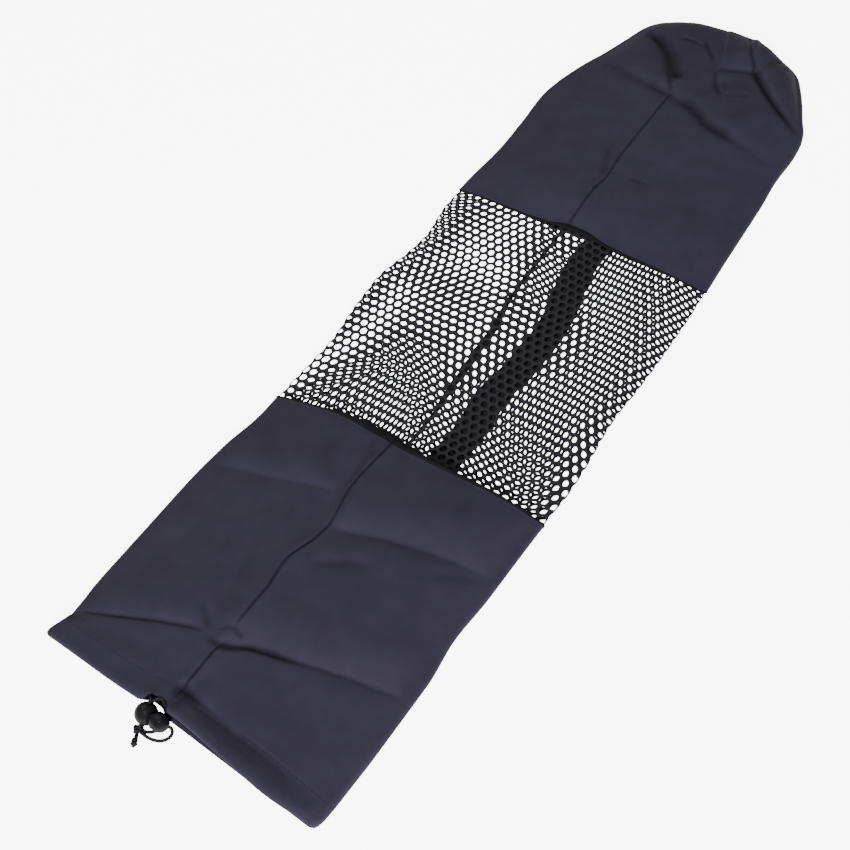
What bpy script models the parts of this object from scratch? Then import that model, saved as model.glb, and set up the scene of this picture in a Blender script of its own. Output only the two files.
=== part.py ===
"""Drawstring yoga mat bag, empty and lying flat.

The bag is a tube of light nylon with a wide band of net round its middle and a
round end panel. It lies on its back, on the shoulder strap, with its mouth
towards -Y and its end panel towards +Y. X runs across it, Z is up, and the
origin is under the middle of it, on the surface that it lies on.
"""

import math
from collections import namedtuple

import bmesh
import bpy
from mathutils import Matrix, Vector

# The bag, in metres
BAG_WIDTH = 0.240
MOUTH_LENGTH = 0.262
NET_LENGTH = 0.2526
BASE_LENGTH = 0.178
END_LENGTH = 0.1094
CLOTH = 0.001
NET_CLOTH = 0.0012
SEWN_GAP = 0.0003

# How high the cloth stands: at its side folds, in the middle, at a crease
FOLD_HEIGHT = 0.007
CROWN_HEIGHT = 0.013
CREASE = 0.0016

# The drawcord and the hem that it runs in
CORD_DIAMETER = 0.002
CORD_CLEARANCE = 0.0003
HEM_LENGTH = 0.0145
HEM_CORNER_HEIGHT = 0.0124
HEM_OPEN_HEIGHT = 0.0155
CORD_GAP_LEFT = -0.0275
CORD_GAP_RIGHT = -0.0085
CORD_IN_HEM = 0.0036
HEM_LIP = 0.0022
CORD_STEP = 0.0042
LOOP_STEP = 0.0046

# The net, cut through in hexagons
NET_COLUMNS = 14
NET_ROWS = 8
NET_OPEN_SHARE = 0.72
NET_BAND = 0.005
NET_FOLD_SHARE = 0.9
NET_CROWN_SHARE = 0.86

# The shoulder strap, flat under the bag
STRAP_WIDTH = 0.026
STRAP_THICKNESS = 0.0014
STRAP_CLEARANCE = 0.0003
STRAP_SIDE_ROOM = 0.0015
STRAP_SLOPE = 0.005
STRAP_HEM_ROOM = 0.0095
STRAP_END_SHARE = 0.74

# The cord lock: a ball on the drawcord, with a sprung plunger at its side
BALL_RADIUS = 0.0074
BALL_X = -0.0215
BALL_TO_MOUTH = 0.0058
LOCK_LIFT = math.radians(5)
CORD_DIVE = math.radians(32)
STEM_RADIUS = 0.0039
LOCK_CLEARANCE = 0.0003
PLUNGER_TRAVEL = 0.0025
PLUNGER_RADIUS = 0.0059
PLUNGER_LENGTH = 0.0105

# The knot and the tail of the drawcord
KNOT_RADIUS = 0.0023
TIP_RADIUS = 0.0018
TIP_LENGTH = 0.0065
TAIL_LENGTH = 0.0038
TAIL_DIRECTION = (0.33, -0.94, 0.0)
KNOT_X = -0.0002
KNOT_ALONG = -0.0120

# What follows from the sizes above
CORD_RADIUS = CORD_DIAMETER / 2
CHANNEL = CORD_DIAMETER + 2 * CORD_CLEARANCE
HEM_THICKNESS = CHANNEL + 2 * CLOTH
BASE_START = MOUTH_LENGTH + NET_LENGTH
END_START = BASE_START + BASE_LENGTH
TOTAL_LENGTH = END_START + END_LENGTH
LOCK_FRONT = BALL_TO_MOUTH + BALL_RADIUS
CENTRE = (TOTAL_LENGTH - LOCK_FRONT) / 2
STRAP_RISE = STRAP_THICKNESS + STRAP_CLEARANCE
HALF = BAG_WIDTH / 2

Row = namedtuple("Row", "left inner_left seam inner_right right fold crown_left crown_right lift")
Edge = namedtuple("Edge", "along left right")
Fold = namedtuple("Fold", "x0 along0 x1 along1 depth width")
LoopPoint = namedtuple("LoopPoint", "x along lift")

# Where a row's five places lie across the bag, as shares of half its width
ACROSS = (-1.0, -4 / 7, -1 / 7, 3 / 7, 1.0)

# Side edges: along as a share of the section's length, left and right as
# shares of half the bag's width
MOUTH_EDGES = (
    Edge(0.00, -1.040, 1.038),
    Edge(0.12, -1.027, 1.046),
    Edge(0.20, -1.035, 1.050),
    Edge(0.43, -1.040, 1.050),
    Edge(0.58, -1.043, 1.021),
    Edge(0.73, -1.027, 1.038),
    Edge(0.89, -0.981, 1.042),
    Edge(1.00, -0.981, 1.048),
)
NET_EDGES = (
    Edge(0.00, -0.981, 1.048),
    Edge(0.20, -0.968, 1.038),
    Edge(0.36, -1.010, 1.025),
    Edge(0.52, -1.035, 1.033),
    Edge(0.67, -0.989, 1.017),
    Edge(0.75, -0.977, 1.000),
    Edge(0.91, -1.027, 0.992),
    Edge(1.00, -1.030, 0.988),
)
BASE_EDGES = (
    Edge(0.00, -1.030, 0.988),
    Edge(0.32, -1.004, 0.963),
    Edge(0.55, -1.021, 0.946),
    Edge(0.77, -1.046, 0.921),
    Edge(0.89, -1.025, 0.925),
    Edge(1.00, -0.956, 0.892),
)
END_EDGES = (
    Edge(0.00, -0.956, 0.892),
    Edge(0.13, -0.908, 0.854),
    Edge(0.29, -0.847, 0.775),
    Edge(0.48, -0.798, 0.692),
    Edge(0.63, -0.758, 0.613),
    Edge(0.73, -0.733, 0.556),
    Edge(0.83, -0.663, 0.433),
    Edge(0.92, -0.567, 0.258),
    Edge(0.96, -0.483, 0.108),
    Edge(1.00, -0.408, -0.033),
)

# Rows across the top, one at each fold or ridge. The first five columns are
# shares of the section's length. Fold and crowns are shares of the cloth's
# heights, and lift is a share of a crease's height.
MOUTH_EDGE = Row(0.010, 0.010, 0.021, 0.018, 0.002, 1.00, 0.00, 1.00, 0.0)
HEM_STITCH = Row(0.065, 0.065, 0.078, 0.073, 0.057, 1.40, 0.85, 1.05, -0.4)
MOUTH_ROWS = (
    Row(0.075, 0.075, 0.089, 0.084, 0.067, 1.2, 0.90, 1.02, 0.1),
    Row(0.085, 0.130, 0.160, 0.200, 0.225, 1.0, 0.95, 1.00, 0.2),
    Row(0.103, 0.190, 0.240, 0.328, 0.382, 1.0, 0.95, 1.00, -1.1),
    Row(0.141, 0.237, 0.294, 0.382, 0.431, 1.0, 1.00, 1.00, 1.0),
    Row(0.260, 0.350, 0.400, 0.475, 0.530, 1.0, 1.00, 1.00, 0.2),
    Row(0.450, 0.490, 0.520, 0.590, 0.640, 1.0, 1.00, 1.00, 0.0),
    Row(0.649, 0.687, 0.672, 0.702, 0.763, 1.0, 1.00, 1.00, -0.8),
    Row(0.695, 0.748, 0.763, 0.786, 0.817, 1.0, 1.00, 1.00, 0.9),
    Row(0.830, 0.850, 0.863, 0.882, 0.893, 1.0, 0.95, 0.95, 0.1),
    Row(0.977, 1.011, 0.996, 0.989, 0.989, 0.9, 0.88, 0.88, -0.3),
)
BASE_ROWS = (
    Row(-0.011, -0.011, 0.009, -0.014, -0.043, 0.95, 0.90, 0.92, -0.3),
    Row(0.060, 0.060, 0.075, 0.060, 0.040, 1.00, 0.98, 0.98, 0.1),
    Row(0.250, 0.250, 0.250, 0.240, 0.230, 1.00, 1.00, 1.00, 0.0),
    Row(0.450, 0.450, 0.440, 0.420, 0.420, 1.00, 1.05, 1.05, 0.3),
    Row(0.680, 0.660, 0.630, 0.590, 0.570, 1.05, 1.12, 1.10, -0.2),
    Row(0.880, 0.850, 0.810, 0.720, 0.690, 1.10, 1.25, 1.22, 0.2),
    Row(1.120, 1.053, 0.985, 0.834, 0.811, 1.15, 1.32, 1.30, -0.8),
)
END_ROWS = (
    Row(0.300, 0.190, 0.100, -0.060, -0.120, 1.20, 1.42, 1.42, 0.6),
    Row(0.430, 0.370, 0.320, 0.200, 0.130, 1.25, 1.45, 1.48, 0.2),
    Row(0.590, 0.570, 0.540, 0.460, 0.380, 1.30, 1.42, 1.46, 0.0),
    Row(0.740, 0.740, 0.740, 0.690, 0.610, 1.35, 1.30, 1.32, 0.0),
    Row(0.850, 0.870, 0.880, 0.850, 0.780, 1.35, 1.15, 1.15, 0.0),
    Row(0.930, 0.960, 0.970, 0.950, 0.900, 1.15, 0.90, 0.90, 0.0),
    Row(0.965, 0.990, 1.000, 0.985, 0.945, 0.60, 0.45, 0.45, 0.0),
)
UNDER_SETBACK = (0.020, 0.0)

# Folds pressed into the end panel: x as shares of half the bag's width,
# along as shares of the end's length
END_FOLDS = (
    Fold(-0.66, 0.70, -0.20, 0.24, 2.2, 0.010),
    Fold(0.30, 0.55, 0.88, 0.08, 2.4, 0.009),
    Fold(0.12, 0.88, 0.30, 0.55, 1.4, 0.008),
    Fold(-0.10, 0.60, 0.16, 0.20, 1.2, 0.008),
)

# The strap's middle line: along as a share of the strap's length, across as a
# share of half the bag's width
STRAP_LINE = (
    (0.00, 0.10), (0.13, 0.17), (0.27, 0.235), (0.38, 0.252), (0.44, 0.260),
    (0.475, 0.245), (0.51, 0.230), (0.56, 0.262), (0.61, 0.265), (0.66, 0.237),
    (0.72, 0.155), (0.76, 0.130), (0.83, 0.133), (0.91, 0.170), (1.00, 0.21),
)
STRAP_STEPS = 30

# The drawcord's loop from the lock's lower hole to the knot: x and along from
# the ball's centre, and how much higher than on the floor the cord lies
LOOP_POINTS = (
    LoopPoint(0.0013, -0.0084, 0.00055),
    LoopPoint(0.0045, -0.0092, 0.0),
    LoopPoint(0.0085, -0.0067, 0.0),
    LoopPoint(0.0115, -0.0027, 0.0),
    LoopPoint(0.0142, 0.0014, 0.0),
    LoopPoint(0.0180, 0.0032, 0.0),
    LoopPoint(0.0216, 0.0012, 0.0),
    LoopPoint(0.0222, -0.0035, 0.0),
    LoopPoint(0.0196, -0.0082, 0.0),
    LoopPoint(0.0145, -0.0112, 0.0),
    LoopPoint(0.0085, -0.0124, 0.0001),
)

# Stations round a ring
TOP_STEPS = (3, 2, 1, 1, 3, 4)
FOLD_STEPS = 5
UNDER_LEFT_STEPS = 3
UNDER_RIGHT_STEPS = 3


def between(low, high, share):
    return low + (high - low) * share


def read_table(table, key, name):
    """The value of one column at key, straight between the table's rows."""
    if key <= table[0].along:
        return getattr(table[0], name)
    for low, high in zip(table, table[1:]):
        if key <= high.along:
            share = (key - low.along) / (high.along - low.along)
            return between(getattr(low, name), getattr(high, name), share)
    return getattr(table[-1], name)


SECTIONS = {
    "mouth": (0.0, MOUTH_LENGTH, MOUTH_EDGES),
    "net": (MOUTH_LENGTH, NET_LENGTH, NET_EDGES),
    "base": (BASE_START, BASE_LENGTH, BASE_EDGES),
    "end": (END_START, END_LENGTH, END_EDGES),
}


def side_x(along, side):
    """The bag's left or right edge at a distance along from the mouth."""
    for start, length, edges in SECTIONS.values():
        if along <= start + length:
            return HALF * read_table(edges, (along - start) / length, side)
    return HALF * getattr(END_EDGES[-1], side)


def across_value(values, share):
    """A row's value at a share of half the width, straight between its places."""
    share = max(-1.0, min(1.0, share))
    for index in range(len(ACROSS) - 1):
        if share <= ACROSS[index + 1]:
            step = (share - ACROSS[index]) / (ACROSS[index + 1] - ACROSS[index])
            return between(values[index], values[index + 1], step)
    return values[-1]


def strap_start():
    return HEM_LENGTH + STRAP_HEM_ROOM


def strap_length():
    return BASE_START + BASE_LENGTH * STRAP_END_SHARE - strap_start()


def strap_x(along):
    """The strap's middle line, on a smooth curve through its points."""
    share = (along - strap_start()) / strap_length()
    share = max(0.0, min(1.0, share))
    points = STRAP_LINE
    for index in range(len(points) - 1):
        if share <= points[index + 1][0]:
            break
    before = points[max(index - 1, 0)]
    low = points[index]
    high = points[index + 1]
    after = points[min(index + 2, len(points) - 1)]
    step = (share - low[0]) / (high[0] - low[0])
    gap = high[0] - low[0]
    slope_low = (high[1] - before[1]) / (high[0] - before[0]) * gap
    slope_high = (after[1] - low[1]) / (after[0] - low[0]) * gap
    square = step * step
    cube = square * step
    value = (
        (2 * cube - 3 * square + 1) * low[1]
        + (cube - 2 * square + step) * slope_low
        + (3 * square - 2 * cube) * high[1]
        + (cube - square) * slope_high
    )
    return HALF * value


def strap_rise(along):
    """How far the cloth under the bag is lifted over the strap."""
    first = strap_start() - STRAP_HEM_ROOM / 2
    last = strap_start() + strap_length() + STRAP_HEM_ROOM
    if first <= along <= last:
        return STRAP_RISE
    return 0.0


def top_shares():
    """Shares across the top: a row's places, and the sides of the drawcord's gap."""
    gap_left = CORD_GAP_LEFT / HALF
    gap_right = CORD_GAP_RIGHT / HALF
    knots = (*ACROSS[:2], gap_left, ACROSS[2], gap_right, *ACROSS[3:])
    shares = [knots[0]]
    for low, high, steps in zip(knots, knots[1:], TOP_STEPS):
        shares += [between(low, high, (i + 1) / steps) for i in range(steps)]
    return shares


TOP_SHARES = top_shares()
GAP_FIRST = sum(TOP_STEPS[:2])
GAP_LAST = GAP_FIRST + 2


class Section:
    """Heights and lengths that turn a row's shares into metres."""

    def __init__(self, start, length, shift=0.0):
        self.start = start
        self.length = length
        self.shift = shift

    def along(self, share):
        return self.start + self.length * share + self.shift


def fold_relief(x, along):
    """How far the folds of the end panel press the cloth down."""
    drop = 0.0
    for fold in END_FOLDS:
        start = Vector((HALF * fold.x0, END_START + END_LENGTH * fold.along0))
        finish = Vector((HALF * fold.x1, END_START + END_LENGTH * fold.along1))
        line = finish - start
        point = Vector((x, along)) - start
        share = max(0.0, min(1.0, point.dot(line) / line.length_squared))
        distance = (point - line * share).length
        drop += fold.depth * CREASE * math.exp(-(distance / fold.width) ** 2)
    return drop


def ring(section, row, heights, setback=(0.0, 0.0)):
    """One closed ring of the tube, as points (x, along, z).

    It runs over the top from left to right, round the right fold, back under
    the bag and round the left fold. The top rises from the folds to the crown
    as one minus the fourth power of the share across.
    """
    fold_base, crown_base = heights
    places = [section.along(value) for value in row[:5]]
    height = fold_base * row.fold
    radius = height / 2
    left = side_x(places[0], "left")
    right = side_x(places[4], "right")
    under_left = places[0] + MOUTH_LENGTH * setback[0]
    under_right = places[4] + MOUTH_LENGTH * setback[1]
    points = []
    for share in TOP_SHARES:
        x = between(left + radius, right - radius, (share + 1) / 2)
        along = across_value(places, share)
        crown = crown_base(between(row.crown_left, row.crown_right, (share + 1) / 2))
        bulge = 1 - share ** 4
        z = height + (crown - height) * bulge + row.lift * CREASE * (1 - share ** 8)
        z -= fold_relief(x, along) * bulge
        points.append(Vector((x, along, z)))
    for step in range(1, FOLD_STEPS):
        turn = math.pi * step / FOLD_STEPS
        along = between(places[4], under_right, step / FOLD_STEPS)
        points.append(Vector((right - radius + radius * math.sin(turn), along,
                              radius + radius * math.cos(turn))))
    half_strap = STRAP_WIDTH / 2 + STRAP_SIDE_ROOM
    middle = between(under_left, under_right, 0.6)
    centre = strap_x(middle)
    rise = strap_rise(middle)
    first = right - radius
    last = left + radius
    if rise:
        arch = (centre + half_strap + STRAP_SLOPE, centre + half_strap,
                centre - half_strap, centre - half_strap - STRAP_SLOPE)
    else:
        arch = [between(first, last, share) for share in (0.3, 0.4, 0.5, 0.6)]
    under = [(between(first, arch[0], i / UNDER_RIGHT_STEPS), 0.0)
             for i in range(UNDER_RIGHT_STEPS)]
    under += [(arch[0], 0.0), (arch[1], rise), (arch[2], rise), (arch[3], 0.0)]
    under += [(between(arch[3], last, i / UNDER_LEFT_STEPS), 0.0)
              for i in range(1, UNDER_LEFT_STEPS + 1)]
    for x, z in under:
        along = between(under_left, under_right, (x - last) / (first - last))
        points.append(Vector((x, along, z)))
    for step in range(1, FOLD_STEPS):
        turn = math.pi * step / FOLD_STEPS
        along = between(under_left, places[0], step / FOLD_STEPS)
        points.append(Vector((left + radius - radius * math.sin(turn), along,
                              radius - radius * math.cos(turn))))
    return points


def inset(points, depth):
    """The same ring moved into the bag by depth, in its own X-Z plane."""
    if depth == 0:
        return list(points)
    count = len(points)
    moved = []
    for index, point in enumerate(points):
        before = points[index - 1]
        after = points[(index + 1) % count]
        first = Vector((point.x - before.x, point.z - before.z)).normalized()
        second = Vector((after.x - point.x, after.z - point.z)).normalized()
        normal_first = Vector((first.y, -first.x))
        normal_second = Vector((second.y, -second.x))
        bisector = (normal_first + normal_second).normalized()
        reach = depth / max(0.5, bisector.dot(normal_first))
        moved.append(Vector((point.x + bisector.x * reach, point.y,
                             point.z + bisector.y * reach)))
    return moved


def cloth_heights(share):
    return CROWN_HEIGHT * share


def hem_crown(share):
    return between(HEM_CORNER_HEIGHT, HEM_OPEN_HEIGHT, share)


def hem_ring(inward, depth):
    """A ring of the hem, inward from the mouth's edge, at a depth in its cloth."""
    section = Section(0.0, MOUTH_LENGTH)
    share = inward / HEM_LENGTH
    edge = ring(section, MOUTH_EDGE, (HEM_CORNER_HEIGHT, hem_crown), UNDER_SETBACK)
    stitch = ring(section, HEM_STITCH, (FOLD_HEIGHT, cloth_heights), UNDER_SETBACK)
    mixed = [between(a, b, share) for a, b in zip(edge, stitch)]
    return inset(mixed, depth)


def new_object(name, mesh_maker, material, smooth=True):
    """Puts a bmesh into the scene as one closed, outward-facing object."""
    bm = bmesh.new()
    mesh_maker(bm)
    bmesh.ops.recalc_face_normals(bm, faces=bm.faces)
    mesh = bpy.data.meshes.new(name)
    bm.to_mesh(mesh)
    bm.free()
    if smooth:
        mesh.shade_smooth()
        mesh.set_sharp_from_angle(angle=math.radians(40))
    body = bpy.data.objects.new(name, mesh)
    bpy.context.scene.collection.objects.link(body)
    mesh.materials.append(material)
    return body


def add_ring(bm, points):
    return [bm.verts.new((p.x, p.y - CENTRE, p.z)) for p in points]


def bridge(bm, first, second, skip=()):
    """Faces between two rings, but for the spans named in skip."""
    count = len(first)
    for index in range(count):
        if index in skip:
            continue
        after = (index + 1) % count
        bm.faces.new((first[index], first[after], second[after], second[index]))


def closed_wall(bm, rings):
    """A tube wall: outer rings out and inner rings back, joined in a loop."""
    made = [add_ring(bm, points) for points in rings]
    for index, current in enumerate(made):
        bridge(bm, current, made[(index + 1) % len(made)])


def mouth_section(bm):
    """The mouth's tube with its hem, open in a gap where the drawcord leaves."""
    section = Section(0.0, MOUTH_LENGTH)
    heights = (FOLD_HEIGHT, cloth_heights)
    rows = [ring(section, MOUTH_ROWS[0], heights, UNDER_SETBACK)]
    rows += [ring(section, row, heights) for row in MOUTH_ROWS[1:]]
    outer = [add_ring(bm, points) for points in reversed(rows)]
    lip = HEM_LIP
    deep = HEM_THICKNESS
    hem = [
        (HEM_LENGTH, 0.0), (0.5 * HEM_LENGTH, 0.0), (lip, 0.0),
        (lip * 0.3, deep * 0.18), (0.0, deep * 0.5), (lip * 0.3, deep * 0.82), (lip, deep),
        (0.5 * HEM_LENGTH, deep), (0.76 * HEM_LENGTH, CLOTH * 2 + CORD_CLEARANCE),
        (HEM_LENGTH, CLOTH * 2 + CORD_CLEARANCE), (HEM_LENGTH, CLOTH + CORD_CLEARANCE),
        (0.76 * HEM_LENGTH, CLOTH + CORD_CLEARANCE), (0.5 * HEM_LENGTH, deep - CLOTH),
        (lip * 1.3, deep - CLOTH), (lip * 0.3 + CLOTH * 0.6, deep * 0.5), (lip * 1.3, CLOTH),
        (0.5 * HEM_LENGTH, CLOTH), (0.76 * HEM_LENGTH, CLOTH), (HEM_LENGTH, CLOTH),
    ]
    hem_rings = [add_ring(bm, hem_ring(inward, depth)) for inward, depth in hem]
    inner = [add_ring(bm, inset(points, CLOTH)) for points in rows]
    rings = outer + hem_rings + inner
    fold_first = len(outer) + 2
    fold_last = len(outer) + 15
    gap = tuple(range(GAP_FIRST, GAP_LAST))
    for index, current in enumerate(rings):
        following = rings[(index + 1) % len(rings)]
        in_fold = fold_first <= index < fold_last
        bridge(bm, current, following, gap if in_fold else ())
    for index in gap:
        first = rings[fold_first]
        last = rings[fold_last]
        bm.faces.new((first[index], first[index + 1], last[index + 1], last[index]))
    for station in (GAP_FIRST, GAP_LAST):
        bm.faces.new([rings[index][station] for index in range(fold_first, fold_last + 1)])


def base_section(bm):
    section = Section(BASE_START, BASE_LENGTH, SEWN_GAP)
    rows = [ring(section, row, (FOLD_HEIGHT, cloth_heights)) for row in BASE_ROWS]
    closed_wall(bm, rows + [inset(points, CLOTH) for points in reversed(rows)])


def base_disc(bm):
    """The round end panel: a cap whose last ring is filled flat."""
    seam = Section(BASE_START, BASE_LENGTH, 2 * SEWN_GAP)
    section = Section(END_START, END_LENGTH, 2 * SEWN_GAP)
    heights = (FOLD_HEIGHT, cloth_heights)
    rows = [ring(seam, BASE_ROWS[-1], heights)]
    rows += [ring(section, row, heights) for row in END_ROWS]
    outer = [add_ring(bm, points) for points in rows]
    inner = [add_ring(bm, inset(points, CLOTH)) for points in rows[:-1]]
    for rings in (outer, inner):
        for first, second in zip(rings, rings[1:]):
            bridge(bm, first, second)
        bm.faces.new(rings[-1])
    bridge(bm, outer[0], inner[0])


def net_points(line, column):
    """A point of the net's outer face.

    line runs from 0 at the mouth's side to NET_ROWS, and column counts the
    half columns round the tube, from the left fold over the top.
    """
    share = line / NET_ROWS
    first = [MOUTH_LENGTH * value for value in MOUTH_ROWS[-1][:5]]
    last = [BASE_START + BASE_LENGTH * value for value in BASE_ROWS[0][:5]]
    band = between(NET_BAND, -NET_BAND, share)
    places = [between(low, high, share) + band for low, high in zip(first, last)]
    turn = column % (2 * NET_COLUMNS)
    on_top = turn <= NET_COLUMNS
    across = -1 + 2 * turn / NET_COLUMNS if on_top else 3 - 2 * turn / NET_COLUMNS
    left = side_x(places[0], "left")
    right = side_x(places[4], "right")
    height = FOLD_HEIGHT * NET_FOLD_SHARE
    crown = CROWN_HEIGHT * NET_CROWN_SHARE
    if turn == 0:
        return Vector((left, places[0], height / 2))
    if turn == NET_COLUMNS:
        return Vector((right, places[4], height / 2))
    x = between(left + height / 2, right - height / 2, (across + 1) / 2)
    if on_top:
        along = across_value(places, across)
        return Vector((x, along, height + (crown - height) * (1 - across ** 4)))
    along = between(places[0], places[4], (across + 1) / 2)
    reach = STRAP_WIDTH / 2 + STRAP_SIDE_ROOM + (right - left) / NET_COLUMNS
    z = STRAP_RISE if abs(x - strap_x(along)) < reach else 0.0
    return Vector((x, along, z))


def net_section(bm):
    """The net: a honeycomb of cells laid like bricks, each with a hexagon cut out."""
    half_columns = 2 * NET_COLUMNS
    row_pitch = (NET_LENGTH - 2 * NET_BAND) / NET_ROWS
    zigzag = row_pitch / 6

    def make_line(line, band=0.0):
        points = [net_points(line, column) for column in range(half_columns)]
        for column, point in enumerate(points):
            if 0 < line < NET_ROWS:
                point.y += zigzag if (column + line) % 2 == 0 else -zigzag
            point.y += band
        return points

    lines = [make_line(line) for line in range(NET_ROWS + 1)]
    edge = NET_BAND - SEWN_GAP
    ends = [make_line(0, -edge), make_line(NET_ROWS, edge)]
    centres = [[(lines[row][column] + lines[row + 1][column]) / 2
                for column in range(half_columns)] for row in range(NET_ROWS)]

    def both(points):
        return add_ring(bm, points), add_ring(bm, inset(points, NET_CLOTH))

    line_verts = [both(points) for points in lines]
    end_verts = [both(points) for points in ends]
    bridge(bm, *end_verts[0])
    bridge(bm, *end_verts[1])
    for side in (0, 1):
        bridge(bm, end_verts[0][side], line_verts[0][side])
        bridge(bm, end_verts[1][side], line_verts[-1][side])
    for row in range(NET_ROWS):
        inner_centres = inset(centres[row], NET_CLOTH)
        for column in range(half_columns):
            if (column + row) % 2 == 0:
                continue
            before = column - 1
            after = (column + 1) % half_columns
            order = ((row, before), (row, column), (row, after),
                     (row + 1, after), (row + 1, column), (row + 1, before))
            holes = []
            for side, centre in ((0, centres[row][column]), (1, inner_centres[column])):
                centre = Vector((centre.x, centre.y - CENTRE, centre.z))
                rim = [line_verts[line][side][place] for line, place in order]
                hole = [bm.verts.new(centre + (v.co - centre) * NET_OPEN_SHARE) for v in rim]
                for index in range(6):
                    following = (index + 1) % 6
                    bm.faces.new((rim[index], rim[following], hole[following], hole[index]))
                holes.append(hole)
            for index in range(6):
                following = (index + 1) % 6
                bm.faces.new((holes[0][index], holes[0][following],
                              holes[1][following], holes[1][index]))


def strap(bm):
    """A flat webbing that follows its middle line along the surface."""
    rings = []
    for step in range(STRAP_STEPS + 1):
        along = strap_start() + strap_length() * step / STRAP_STEPS
        x = strap_x(along)
        corners = ((-1, 0.0), (1, 0.0), (1, STRAP_THICKNESS), (-1, STRAP_THICKNESS))
        rings.append(add_ring(bm, [Vector((x + side * STRAP_WIDTH / 2, along, z))
                                   for side, z in corners]))
    for first, second in zip(rings, rings[1:]):
        bridge(bm, first, second)
    bm.faces.new(rings[0])
    bm.faces.new(rings[-1])


def ball_centre():
    return Vector((BALL_X, -BALL_TO_MOUTH - CENTRE, BALL_RADIUS))


def lock_frame():
    """The lock's own frame: its X is the plunger's axis, and its Y the cord's hole."""
    lift = Matrix.Rotation(-LOCK_LIFT, 4, "Y")
    dive = Matrix.Rotation(CORD_DIVE, 4, "X")
    return Matrix.Translation(ball_centre()) @ lift @ dive


def turned(bm, profile, steps):
    """A closed solid turned round X from (x, radius) points that end on the axis."""
    rings = []
    for x, radius in profile:
        if radius == 0:
            rings.append([bm.verts.new((x, 0, 0))])
            continue
        rings.append([bm.verts.new((x, radius * math.cos(2 * math.pi * i / steps),
                                    radius * math.sin(2 * math.pi * i / steps)))
                      for i in range(steps)])
    for first, second in zip(rings, rings[1:]):
        for index in range(steps):
            after = (index + 1) % steps
            corners = []
            for vert in (first[index % len(first)], first[after % len(first)],
                         second[after % len(second)], second[index % len(second)]):
                if vert not in corners:
                    corners.append(vert)
            bm.faces.new(corners)


def slot_cutter(name, x_low, x_high, half_height, matrix):
    """A box that cuts the cord's hole; it stays hidden."""
    size = 4 * BALL_RADIUS

    def box(bm):
        bmesh.ops.create_cube(bm, size=1.0, matrix=Matrix.Translation(
            ((x_low + x_high) / 2, 0, 0)) @ Matrix.Diagonal(
            (x_high - x_low, size, 2 * half_height, 1)))

    cutter = new_object(name, box, bpy.data.materials["lock_plastic"], smooth=False)
    cutter.matrix_world = matrix
    cutter.hide_render = True
    cutter.display_type = "WIRE"
    return cutter


def cut(body, cutter):
    modifier = body.modifiers.new("cord_hole", "BOOLEAN")
    modifier.operation = "DIFFERENCE"
    modifier.solver = "EXACT"
    modifier.object = cutter


def cord_lock():
    """The ball and its plunger, both with a hole for the two runs of the cord."""
    frame = lock_frame()
    plastic = make_material("lock_plastic", (0.012, 0.012, 0.014), 0.28)
    face = 0.72 * BALL_RADIUS
    bore = STEM_RADIUS + LOCK_CLEARANCE
    hole = CORD_RADIUS + CORD_CLEARANCE
    hole_height = CORD_DIAMETER + CORD_CLEARANCE + CORD_CLEARANCE / 2
    stem_end = hole + CLOTH
    bore_end = stem_end + PLUNGER_TRAVEL + LOCK_CLEARANCE

    def ball(bm):
        arc_steps = 9
        start = math.acos(face / BALL_RADIUS)
        profile = [(-bore_end, 0), (-bore_end, bore), (face, bore)]
        for step in range(arc_steps + 1):
            turn = between(start, math.pi, step / arc_steps)
            radius = BALL_RADIUS * math.sin(turn) if step < arc_steps else 0
            profile.append((BALL_RADIUS * math.cos(turn), radius))
        turned(bm, profile, 20)

    def plunger(bm):
        head = face + PLUNGER_TRAVEL + LOCK_CLEARANCE
        end = head + PLUNGER_LENGTH
        profile = [(-stem_end, 0), (-stem_end, STEM_RADIUS), (head, STEM_RADIUS),
                   (head, 0.8 * PLUNGER_RADIUS), (head + 0.1 * PLUNGER_LENGTH, PLUNGER_RADIUS),
                   (head + 0.5 * PLUNGER_LENGTH, PLUNGER_RADIUS)]
        for step in range(1, 5):
            turn = math.pi / 2 * step / 4
            radius = PLUNGER_RADIUS * math.cos(turn) if step < 4 else 0
            profile.append((between(head + 0.5 * PLUNGER_LENGTH, end, math.sin(turn)), radius))
        turned(bm, profile, 20)

    body = new_object("lock_body", ball, plastic)
    body.matrix_world = frame
    cut(body, slot_cutter("cord_hole_in_ball", -hole, hole, hole_height, frame))
    button = new_object("lock_plunger", plunger, plastic)
    button.matrix_world = frame
    cut(button, slot_cutter("cord_hole_in_plunger", -hole, hole + PLUNGER_TRAVEL,
                            hole_height, frame))


def smooth_points(route, spacing):
    """Points along a smooth curve through the route, about spacing apart."""
    result = [route[0]]
    for index in range(len(route) - 1):
        before = route[max(index - 1, 0)]
        low = route[index]
        high = route[index + 1]
        after = route[min(index + 2, len(route) - 1)]
        steps = max(1, round((high - low).length / spacing))
        for step in range(1, steps + 1):
            t = step / steps
            result.append(0.5 * (2 * low + (high - before) * t
                                 + (2 * before - 5 * low + 4 * high - after) * t * t
                                 + (3 * low - before - 3 * high + after) * t ** 3))
    return result


def cord_tube(name, points, material):
    curve = bpy.data.curves.new(name, "CURVE")
    curve.dimensions = "3D"
    curve.bevel_depth = CORD_RADIUS
    curve.bevel_resolution = 2
    curve.use_fill_caps = True
    spline = curve.splines.new("POLY")
    spline.points.add(len(points) - 1)
    for target, point in zip(spline.points, points):
        target.co = (point.x, point.y, point.z, 1)
    curve.materials.append(material)
    body = bpy.data.objects.new(name, curve)
    bpy.context.scene.collection.objects.link(body)


def knot_place():
    return ball_centre() + Vector((KNOT_X, KNOT_ALONG, KNOT_RADIUS - BALL_RADIUS))


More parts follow.
